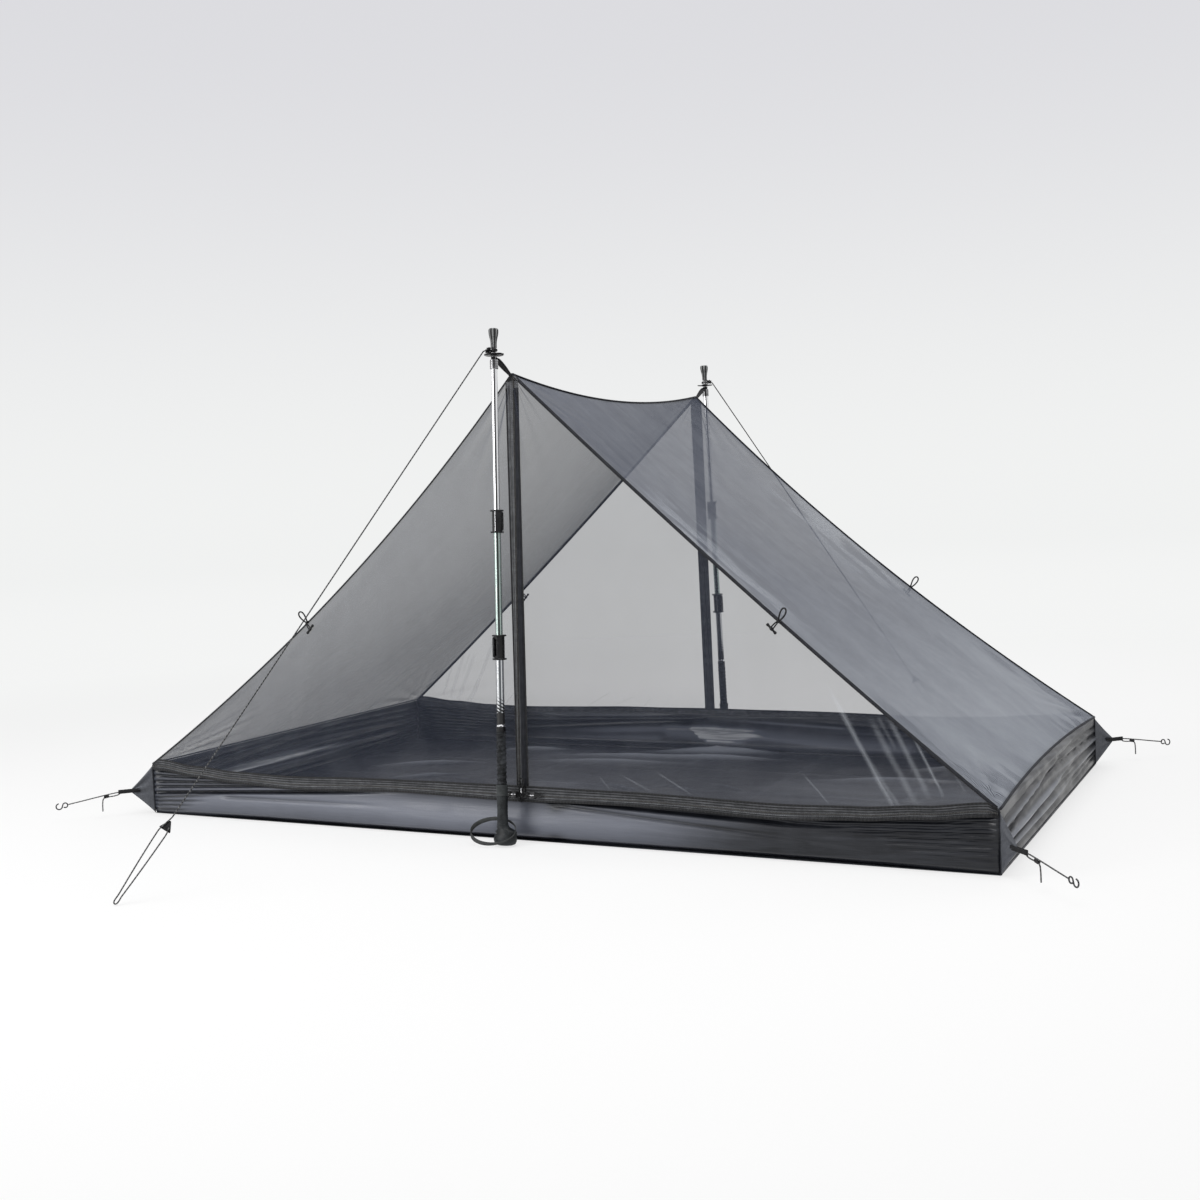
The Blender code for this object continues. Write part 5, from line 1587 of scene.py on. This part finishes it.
def make_head(side, turn):
    """Basket and rubber foot cover on the pole's upper end."""
    hub = FERRULE_RADIUS - 0.0005
    top = BASKET_BASE + BASKET_HEIGHT
    disc = BASKET_BASE + 0.0010
    profile = [(NECK_RADIUS + 0.0003, BASKET_BASE), (hub, BASKET_BASE + 0.0001), (hub + 0.001, disc),
               (BASKET_RADIUS * 0.72, disc - 0.0004), (BASKET_RADIUS * 0.93, disc + 0.0002),
               (BASKET_RADIUS, disc + 0.0012), (BASKET_RADIUS + 0.0004, disc + 0.0030),
               (BASKET_RADIUS - 0.0008, disc + 0.0034), (BASKET_RADIUS * 0.92, disc + 0.0020),
               (BASKET_RADIUS * 0.70, disc + 0.0014), (hub + 0.001, disc + 0.0020), (hub, disc + 0.0034),
               (hub - 0.001, top), (NECK_RADIUS + 0.0003, top)]

    def scallops(ring, angle):
        if 3 <= ring <= 9:
            return 1 - 0.05 * (0.5 + 0.5 * cos(5 * angle)) ** 6, 0.0012 * max(0.0, cos(angle)) ** 3
        return 1.0, 0.0

    basket = turned("mud_basket_" + side, profile, PLASTIC, turn, 60, open_ends=True, shape=scallops)
    dress(basket, "tent", "black_plastic", "basket_" + side)
    end = COVER_BASE + COVER_LENGTH
    profile = [(NECK_RADIUS + 0.0003, COVER_BASE), (COVER_FOOT_RADIUS - 0.0005, COVER_BASE + 0.0002),
               (COVER_FOOT_RADIUS, COVER_BASE + 0.0012)]
    profile += [(COVER_FOOT_RADIUS + (COVER_TOP_RADIUS - COVER_FOOT_RADIUS) * eased(share, 0.22, 0.95),
                 COVER_BASE + 0.0015 + (COVER_LENGTH - 0.0065) * share) for share in
                [step / 14 for step in range(15)]]
    profile += [(COVER_TOP_RADIUS - 0.0002, end - 0.0030), (COVER_TOP_RADIUS - 0.0014, end - 0.0008),
                (COVER_TOP_RADIUS - 0.0035, end)]

    def grooves(ring, angle):
        if 4 <= ring <= 17:
            return 1 - 0.10 * (0.5 + 0.5 * cos(COVER_RIBS * angle)) ** 5, 0.0
        return 1.0, 0.0

    cover = turned("foot_cover_" + side, profile, COVER_RUBBER, turn, 64, shape=grooves)
    dress(cover, "tent", "rubber", "tip_cover_" + side)


def make_wrist_strap(side, turn):
    """The webbing loop round the pommel, low in front and up against the handle behind."""
    hinge_x = POMMEL_LIP - STRAP_HINGE_INSET
    centre_x = hinge_x - STRAP_LENGTH / 2
    centre_y = (STRAP_BACK - STRAP_FRONT) / 2
    half_y = (STRAP_BACK + STRAP_FRONT) / 2
    low = STRAP_HALF_HEIGHT + 0.0006 + STRAP_FRONT * sin(POLE_ANGLE) - POLE_LIFT
    sides = 72
    path = []
    outs = []
    sizes = []
    for step in range(sides):
        angle = tau * step / sides
        narrow = ((1 + cos(angle)) / 2) ** 2
        tall = STRAP_HALF_HEIGHT + (STRAP_END_HALF_HEIGHT - STRAP_HALF_HEIGHT) * narrow
        path.append(Vector((centre_x + STRAP_LENGTH / 2 * cos(angle),
                            centre_y + half_y * sin(angle),
                            low + STRAP_RISE * (1 + sin(angle)) / 2)))
        outs.append(Vector((cos(angle) * half_y, sin(angle) * STRAP_LENGTH / 2, 0)).normalized())
        sizes.append((tall / STRAP_HALF_HEIGHT, 1.4))
    strap = swept("wrist_loop_" + side, path, band(STRAP_HALF_HEIGHT, 0.0013), STRAP_WEBBING, turn,
                  outs, sizes, closed=True)
    dress(strap, "wrist_strap_body_" + side, "webbing", "wrist_strap_" + side)


# Guy lines, straps and corners

def guy_route():
    """The guy line's centre, in the front's frame, as in the solids: round the neck, down and back up."""
    foot = Vector((GUY_FOOT_X, GUY_FOOT_Y, 2 * CORD_RADIUS))
    centre = pole_point(BASKET_BASE + BASKET_HEIGHT + KNOT_SPACE / 2)
    heading = Vector((foot.x - centre.x, foot.y - centre.y, 0)).normalized()
    turn_radius = NECK_RADIUS + CORD_RADIUS + TOUCH_GAP
    leave = atan2(-heading.x, heading.y)
    knots = []
    for step in range(9):
        angle = leave - radians(NECK_WRAP) * (8 - step) / 8
        knots.append(centre + heading_at(angle) * turn_radius)
    rim = BASKET_RADIUS + CORD_RADIUS
    side_step = heading_at(leave) * turn_radius
    over = centre + heading * (rim - 0.003) + side_step * 0.5
    bend = centre + heading * (rim + 0.0035) + side_step * 0.3 + Vector((0, 0, -0.0045))
    knots += [over, bend]
    along = (foot - bend).normalized()
    across = along.cross(UP).normalized()
    out = across.cross(along).normalized()
    if out.z < 0:
        out = -out
    twist = radians(GUY_TWIST)
    level, raised = across, out
    across = level * cos(twist) + raised * sin(twist)
    out = raised * cos(twist) - level * sin(twist)
    plate_top = foot - along * GUY_TAIL
    half = TENSIONER_SIDE / 2
    depth = TENSIONER_SIDE * 0.8
    knots += [
        plate_top - along * 0.010,
        plate_top + along * depth * 0.5 + across * half * 0.35,
        plate_top + along * (depth + 0.008) + across * half * 0.66,
        foot - along * 0.020 + across * GUY_LOOP_HALF,
        foot,
        foot - along * 0.020 - across * GUY_LOOP_HALF,
        plate_top + along * (depth + 0.008) - across * half * 0.66,
        plate_top + along * depth * 0.6 - across * half * 0.45,
    ]
    spans = [4] * 8 + [5, 5, 60, 6, 6, 10, 8, 8, 10, 6]
    return smooth_route(knots, spans), plate_top, along, across, out


def make_guy(side, turn):
    """A guy line with its three-hole tensioner, and the knot on the pole's neck."""
    route, plate_top, along, across, out = guy_route()
    half = TENSIONER_SIDE / 2
    depth = TENSIONER_SIDE * 0.8
    bevel = TENSIONER_SIDE * 0.16
    corners = [Vector((0, 0)), Vector((depth, half)), Vector((depth, -half))]
    outline = []
    for number, corner in enumerate(corners):
        before, after = corners[number - 1], corners[(number + 1) % 3]
        start = corner + (before - corner).normalized() * bevel
        end = corner + (after - corner).normalized() * bevel
        for step in range(6):
            t = step / 5
            outline.append((start * (1 - t) ** 2 + corner * 2 * t * (1 - t) + end * t**2)[:])
    sink = out * (CORD_RADIUS + TENSIONER_THICKNESS / 2 + TOUCH_GAP)
    tensioner = plate("line_tensioner_" + side, outline, TENSIONER_THICKNESS, along, across,
                      plate_top - sink, PLASTIC, turn)
    dress(tensioner, "tent", "black_plastic", "guy_tensioner_" + side)
    line = swept("guy_cord_" + side, route, round_cord(CORD_RADIUS, 10), CORD, turn)
    dress(line, "tent", "cord", "guy_line_" + side)
    centre = pole_point(BASKET_BASE + BASKET_HEIGHT + KNOT_SPACE / 2)
    for number, (x, y, z, size) in enumerate(NECK_KNOTS):
        place = centre + Vector((x, y, z))
        knot_path = []
        for step in range(48):
            t = tau * step / 48 + number
            wound = Vector((sin(t) + 2 * sin(2 * t), cos(t) - 2 * cos(2 * t),
                            -1.4 * sin(3 * t)))
            knot_path.append(place + wound * size)
        knot = swept("neck_knot_%s_%d" % (side, number), knot_path, round_cord(CORD_RADIUS), ELASTIC,
                     turn, closed=True)
        dress(knot, "tent", "cord")


# Knots beside the pole's neck: place from its middle, and size
NECK_KNOTS = ((-0.0125, -0.0040, 0.0000, 0.0024), (-0.0060, -0.0100, 0.0030, 0.0022),
              (0.0070, -0.0085, 0.0000, 0.0018))


def corner_turn(hand, turn):
    angle = atan2(-1, hand)
    place = Matrix.Translation((hand * HALF_LENGTH, -HALF_WIDTH, 0))
    return turn @ place @ Matrix.Rotation(angle, 4, "Z")


def make_corner(side, label, hand, side_turn):
    """Corner tab, its webbing loop, the cord through it with its tail, and the hook."""
    turn = corner_turn(hand, side_turn)
    place = side + "_" + label
    middle = WALL_HEIGHT / 2
    rows = []
    steps, rises = 14, 16
    for step in range(steps + 1):
        share = step / steps
        x = 0.0004 + TAB_REACH * share
        half = (WALL_HEIGHT / 2 - 0.003) * (1 - share) + WEBBING_HALF_HEIGHT * share
        half -= 0.001 * sin(pi * share)
        row = []
        for rise in range(rises + 1):
            level = 2 * rise / rises - 1
            z = middle + half * level
            fold = 0.0022 * sin(level * 9.0) * sin(pi * share)
            fold += 0.0010 * sin(level * 21.0) * share
            row.append(Vector((x, fold, z)))
        rows.append(row)
    tab = cloth("corner_gusset_" + place, rows, TAB_CLOTH, turn)
    thicken(tab, TAB_THICKNESS)
    dress(tab, "tent", "coated_cloth", "corner_tab_" + place)
    end = TAB_REACH + WEBBING_LENGTH
    start = Vector((end + TOUCH_GAP + CORD_RADIUS, 0, middle))
    layer = [(TAB_REACH - 0.020, 0.0016), (TAB_REACH - 0.004, 0.0017), (TAB_REACH + 0.010, 0.0018),
             (end - 0.004, 0.0020)]
    loop = [Vector((x, lift, middle)) for x, lift in layer]
    for step in range(9):
        angle = pi / 2 - pi * step / 8
        loop.append(Vector((start.x + 0.0032 * cos(angle), 0.0024 * sin(angle), middle)))
    loop += [Vector((x, -lift, middle)) for x, lift in layer[::-1]]
    outs = [along.cross(UP).normalized() for along, _, _ in path_frames(loop, UP)]
    webbing = swept("corner_webbing_" + place, loop, band(WEBBING_HALF_HEIGHT - 0.001, 0.0009), WEBBING,
                    turn, outs)
    dress(webbing, "tent", "webbing")
    finish = Vector((start.x + CORNER_CORD_REACH, 0, middle - CORNER_CORD_DROP))
    slope = (finish - start).normalized()
    under = Vector((0, 0, -CORNER_STRAND_GAP))
    split = start + slope * CORNER_TAIL_START + under
    knots = [finish, finish - slope * 0.02, start + slope * 0.008, start + under * 0.5,
             start + slope * 0.008 + under, split, split + Vector((0.004, 0, -0.010)),
             split + Vector((0.005, 0, -CORNER_TAIL_DROP))]
    spans = [6, 24, 8, 8, 10, 6, 10]
    route = smooth_route(knots, spans)
    turning = sum(spans[:3])
    hook = make_hook("corner_wire_hook_" + place, finish + slope * TOUCH_GAP, slope, turn)
    dress(hook, "tent", "hook_metal", "corner_hook_" + place)
    outline = [(-0.005, -0.004), (0.005, -0.004), (0.007, 0.0), (0.005, 0.004), (-0.005, 0.004),
               (-0.007, 0.0)]
    lock = plate("cord_lock_" + place, outline, 0.0060, slope, UP,
                 split - slope * 0.006 - under / 2, PLASTIC, turn)
    dress(lock, "tent", "black_plastic")
    parts = (("corner_line_", route[:turning + 1][::-1], [hook], "fitting", CORNER_LINE_LENGTH),
             ("corner_tail_", route[turning:], [lock], "bare", CORNER_TAIL_LENGTH))
    for title, points, others, far, length in parts:
        line = swept(title + place, points, round_cord(CORD_RADIUS, 10), CORD, turn)
        dress(line, "tent", "cord", "corner_cord_" + place)


def make_hook(name, start, slope, turn):
    """A bent wire hook: an eye for the cord, a waist and an open bend beyond it."""
    up = Vector((-slope.z, 0, slope.x))
    eye = start + slope * (HOOK_WIRE + HOOK_EYE)
    bend = eye + slope * (HOOK_EYE + HOOK_BEND + HOOK_WIRE)
    points = []
    for step in range(25):
        angle = radians(-40 - 290 * step / 24)
        points.append(eye + (slope * cos(angle) + up * sin(angle)) * HOOK_EYE)
    for step in range(24):
        angle = radians(205 + 250 * step / 23)
        points.append(bend + (slope * cos(angle) + up * sin(angle)) * HOOK_BEND)
    return swept(name, points, round_cord(HOOK_WIRE, 10), HOOK_METAL, turn)


def make_peak_strap(side, turn):
    """Two black strands from the pole's neck to the peak, and the loop round the neck."""
    seat = NECK_BASE + 0.0032
    end = on_face(0, PEAK_HEIGHT - 0.004, 0.0012)
    reach = NECK_RADIUS + 0.0012
    ring = []
    for step in range(25):
        angle = radians(60 - NECK_WRAP * step / 24)
        ring.append(pole_point(seat, reach * sin(angle), reach * cos(angle)))
    loop = swept("neck_loop_" + side, ring, band(0.0030, 0.0014), WEBBING, turn,
                 [(point - pole_point(seat)).normalized() for point in ring])
    dress(loop, "tent", "webbing", "peak_strap_" + side)
    for number, shift in enumerate((-1, 1)):
        knots = [pole_point(seat, shift * 0.0056, 0.0020),
                 pole_point(seat, shift * 0.0046, 0.015) + Vector((0, 0, -0.003)),
                 end + Vector((shift * 0.0030, -0.018, 0.0080)),
                 end + Vector((shift * 0.0012, 0.004, -0.004))]
        path = smooth_route(knots, [5, 12, 6])
        shares = [min(1.0, 1.25 * step / (len(path) - 1)) for step in range(len(path))]
        sizes = [0.8 + 0.5 * sin(pi * share) for share in shares]
        strand = swept("peak_strand_%s_%d" % (side, number), path, band(0.0036, 0.0020), WEBBING, turn,
                       Vector((0, -0.25, 1)).normalized(), sizes)
        dress(strand, "tent", "webbing")
    patch = []
    for step in range(7):
        z = PEAK_HEIGHT - 0.001 - 0.016 * step / 6
        half = 0.001 + (PEAK_HEIGHT - z) * 0.85
        patch.append([on_face(half * (2 * place / 8 - 1), z,
                              0.0026 + 0.0012 * cos(place * 2.2) * step / 6) for place in range(9)])
    piece = cloth("peak_patch_" + side, patch, WEBBING, turn)
    thicken(piece, CLOTH_THICKNESS)
    dress(piece, "tent", "webbing")


def make_toggle(side, label, hand, turn):
    """An elastic loop and a toggle on a seam, which hold the door when it is rolled back."""
    place = side + "_" + label
    seat = seam_at(hand, TOGGLE_SHARE)
    down, inward, _ = seam_line(hand)
    root = seat + OUT_OF_DOOR * 0.004
    outward = (-inward * 0.85 - down * 0.10 + OUT_OF_DOOR * 0.15).normalized()
    wide = (down * 0.9 + OUT_OF_DOOR * 0.2).normalized()
    loop = []
    for step in range(41):
        angle = radians(-176 + 352 * step / 40)
        far = 0.0165 * (1 + cos(angle))
        loop.append(root + outward * far + wide * 0.0088 * sin(angle) * (0.35 + 0.65 * far / 0.033))
    dress(swept("door_loop_" + place, loop, round_cord(0.0019), ELASTIC, turn), "tent", "cord")
    knot = [root + down * 0.0050 * sin(t) + OUT_OF_DOOR * 0.0030 * cos(t)
            + inward * 0.0012 * sin(2 * t) for t in (tau * step / 20 for step in range(20))]
    wound = swept("toggle_knot_" + place, knot, round_cord(0.0018), ELASTIC, turn, closed=True)
    dress(wound, "tent", "cord")
    for number, shift in enumerate((-0.0022, 0.0022)):
        hang = [root + down * shift * 0.4, root + inward * 0.009 + OUT_OF_DOOR * 0.006 + down * shift,
                root + inward * 0.020 + OUT_OF_DOOR * 0.007 + down * shift * 1.3]
        strand = swept("toggle_cord_%s_%d" % (place, number), smooth_route(hang, [6, 8]), round_cord(0.0016),
                       ELASTIC, turn)
        dress(strand, "tent", "cord")
    centre = root + inward * 0.0215 + OUT_OF_DOOR * 0.007
    lie = (down * 0.95 + inward * 0.12).normalized()
    axis = lie.to_track_quat("Z", "Y").to_matrix().to_4x4()
    half = [(0.0012, 0.0150), (0.0030, 0.0142), (0.0034, 0.0118), (0.0022, 0.0060), (0.0034, 0.0024)]
    profile = [(radius, -height) for radius, height in half] + [(0.0040, 0.0)] + half[::-1]
    toggle = turned("door_toggle_" + place, profile, PLASTIC, turn @ Matrix.Translation(centre) @ axis, 24)
    dress(toggle, "tent", "black_plastic")


# Camera, floor and light

def make_camera():
    right = heading_at(CAMERA_YAW)
    back = right.cross(UP) * cos(CAMERA_PITCH) + UP * sin(CAMERA_PITCH)
    up = back.cross(right)
    level = right * cos(CAMERA_ROLL) + up * sin(CAMERA_ROLL)
    over = up * cos(CAMERA_ROLL) - right * sin(CAMERA_ROLL)
    data = bpy.data.cameras.new("camera")
    data.lens = CAMERA_LENS
    data.sensor_width = CAMERA_SENSOR
    camera = show("camera", data)
    turn = Matrix((level, over, back)).transposed().to_4x4()
    camera.matrix_world = Matrix.Translation(CAMERA_PLACE) @ turn
    bpy.context.scene.camera = camera


def make_ground():
    """A wide pale floor, whose far edge has the backdrop's tone."""
    rings = [0.0, 0.8, 1.6, 2.4, 3.2, 4.5, 6.5, 10.0, 16.0, 40.0, 120.0]
    sides = 64
    points = [Vector((0, 0, 0))]
    faces = []
    for ring in rings[1:]:
        angles = [tau * side / sides for side in range(sides)]
        points += [heading_at(angle) * ring for angle in angles]
    for side in range(sides):
        faces.append((0, 1 + side, 1 + (side + 1) % sides))
    for ring in range(len(rings) - 2):
        base = 1 + ring * sides
        for side in range(sides):
            after = (side + 1) % sides
            faces.append((base + side, base + sides + side, base + sides + after, base + after))
    ground = add_piece("ground", points, faces, ground_material())
    ground.location.z = -GROUND_GAP


def seen_rays(tree):
    """1 for camera, mirror and glass rays, 0 for rays that carry light."""
    path = put(tree, "LightPath").outputs
    seen = maths(tree, "MAXIMUM", path["Is Camera Ray"], path["Is Glossy Ray"])
    return maths(tree, "MAXIMUM", seen, path["Is Transmission Ray"])


GROUND_GAP = 0.0006
GROUND_TONE = 0.30
GROUND_GLOW_NEAR = 0.690
GROUND_GLOW_MIDDLE = 0.655
GROUND_GLOW_BEYOND = (0.902, 0.908, 0.904)
GROUND_BOUNCE = 0.30
GLOW_CENTRE = (0.7, -1.4, 0.0)
BACKDROP_LOW = (0.876, 0.884, 0.880)
BACKDROP_HIGH = (0.716, 0.716, 0.745)
WORLD_LIGHT = 0.46


def grey(tone):
    return tone, tone, tone


def ground_material():
    """Pale floor: it glows to the tone of the backdrop far away, and still takes shadows round the tent."""
    made, tree = new_material("pale_floor", 0.9, specular=0.0)
    place = put(tree, "TexCoord").outputs["Object"]
    far = vectors(tree, "LENGTH", vectors(tree, "SUBTRACT", place, GLOW_CENTRE)[0])["Value"]
    from_tent = vectors(tree, "LENGTH", place)["Value"]
    beyond = stepped(tree, from_tent, 1.7, 4.6)
    grain = stepped(tree, mottle(tree, place, 240.0, 3.0), 0.3, 0.7)
    near = between(tree, grain, grey(GROUND_TONE), grey(GROUND_TONE * 0.985))
    glow = between(tree, stepped(tree, far, 0.5, 2.4), grey(GROUND_GLOW_NEAR), grey(GROUND_GLOW_MIDDLE))
    glow = between(tree, beyond, glow, GROUND_GLOW_BEYOND)
    glow = between(tree, stepped(tree, far, 5.0, 24.0), glow, BACKDROP_LOW)
    return finished(made, {
        "Base Color": between(tree, beyond, near, grey(0.0)),
        "Emission Color": between(tree, seen_rays(tree), grey(GROUND_BOUNCE), glow),
        "Emission Strength": 1.0,
    })


def make_world():
    world = bpy.data.worlds.new("studio")
    bpy.context.scene.world = world
    world.use_nodes = True
    tree = world.node_tree
    height = axes(tree, put(tree, "TexCoord").outputs["Generated"])[2]
    backdrop = between(tree, stepped(tree, height, 0.0, 0.34), BACKDROP_LOW, BACKDROP_HIGH)
    seen = between(tree, seen_rays(tree), grey(WORLD_LIGHT), backdrop)
    connect(tree, tree.nodes["Background"].inputs, {"Color": seen, "Strength": 1.0})


def make_lamp(name, place, target, size, power):
    data = bpy.data.lights.new(name, "AREA")
    data.shape = "DISK"
    data.size = size
    data.energy = power
    lamp = show(name, data)
    lamp.location = place
    lamp.rotation_euler = (Vector(target) - Vector(place)).to_track_quat("-Z", "Y").to_euler()


def make_tent():
    make_floor()
    for label, hand in SIDE_HANDS["front"]:
        make_end_wall(label, hand)
    for side, turn in SIDE_TURNS.items():
        make_long_wall(side, turn)
    make_ridge_binding()
    for label, hand in SIDE_HANDS["front"]:
        make_end_panel(label, hand)
    for side, turn in SIDE_TURNS.items():
        make_base_zip(side, turn)
        make_upright_zip(side, turn)
        foot = base_height(0)
        lean = Vector((0, FACE_LEAN, 1)).normalized()
        make_slider("zip_puller_" + side, on_face(SLIDER_PLACE, foot - 0.0055, 0.0062), lean,
                    Vector((1, 0, 0)), turn, "zip_slider_body_" + side, "zip_slider_" + side)
        for number, shift in enumerate((0.006, 0.054)):
            level = Vector((1 if shift < 0 else -1, 0, 0))
            make_slider("base_zip_puller_%s_%d" % (side, number),
                        on_face(shift, base_height(shift) - 0.0160, 0.0052), level, lean, turn, "tent")
        for label, hand in SIDE_HANDS[side]:
            make_seam_binding(side, label, hand, turn)
            make_door(side, label, hand, turn)
            make_corner(side, label, hand, turn)
            make_toggle(side, label, hand, turn)
        make_peak_strap(side, turn)
        make_guy(side, turn)


def make_poles():
    for side in SIDE_TURNS:
        turn = pole_turn(side)
        make_grip(side, turn)
        make_tubes(side, turn)
        make_head(side, turn)
        make_wrist_strap(side, turn)


bpy.context.scene.view_settings.view_transform = "Standard"
make_camera()
make_world()
make_ground()
make_lamp("key_light", (-2.3, -3.5, 1.5), (-0.2, -0.3, 0.2), 2.2, 62.0)
make_lamp("sky_light", (0.4, -0.6, 4.4), (0, 0, 0.2), 3.6, 95.0)
make_lamp("back_light", (0.9, 4.2, 3.2), (0, 0, 0.3), 3.0, 40.0)
make_tent()
make_poles()
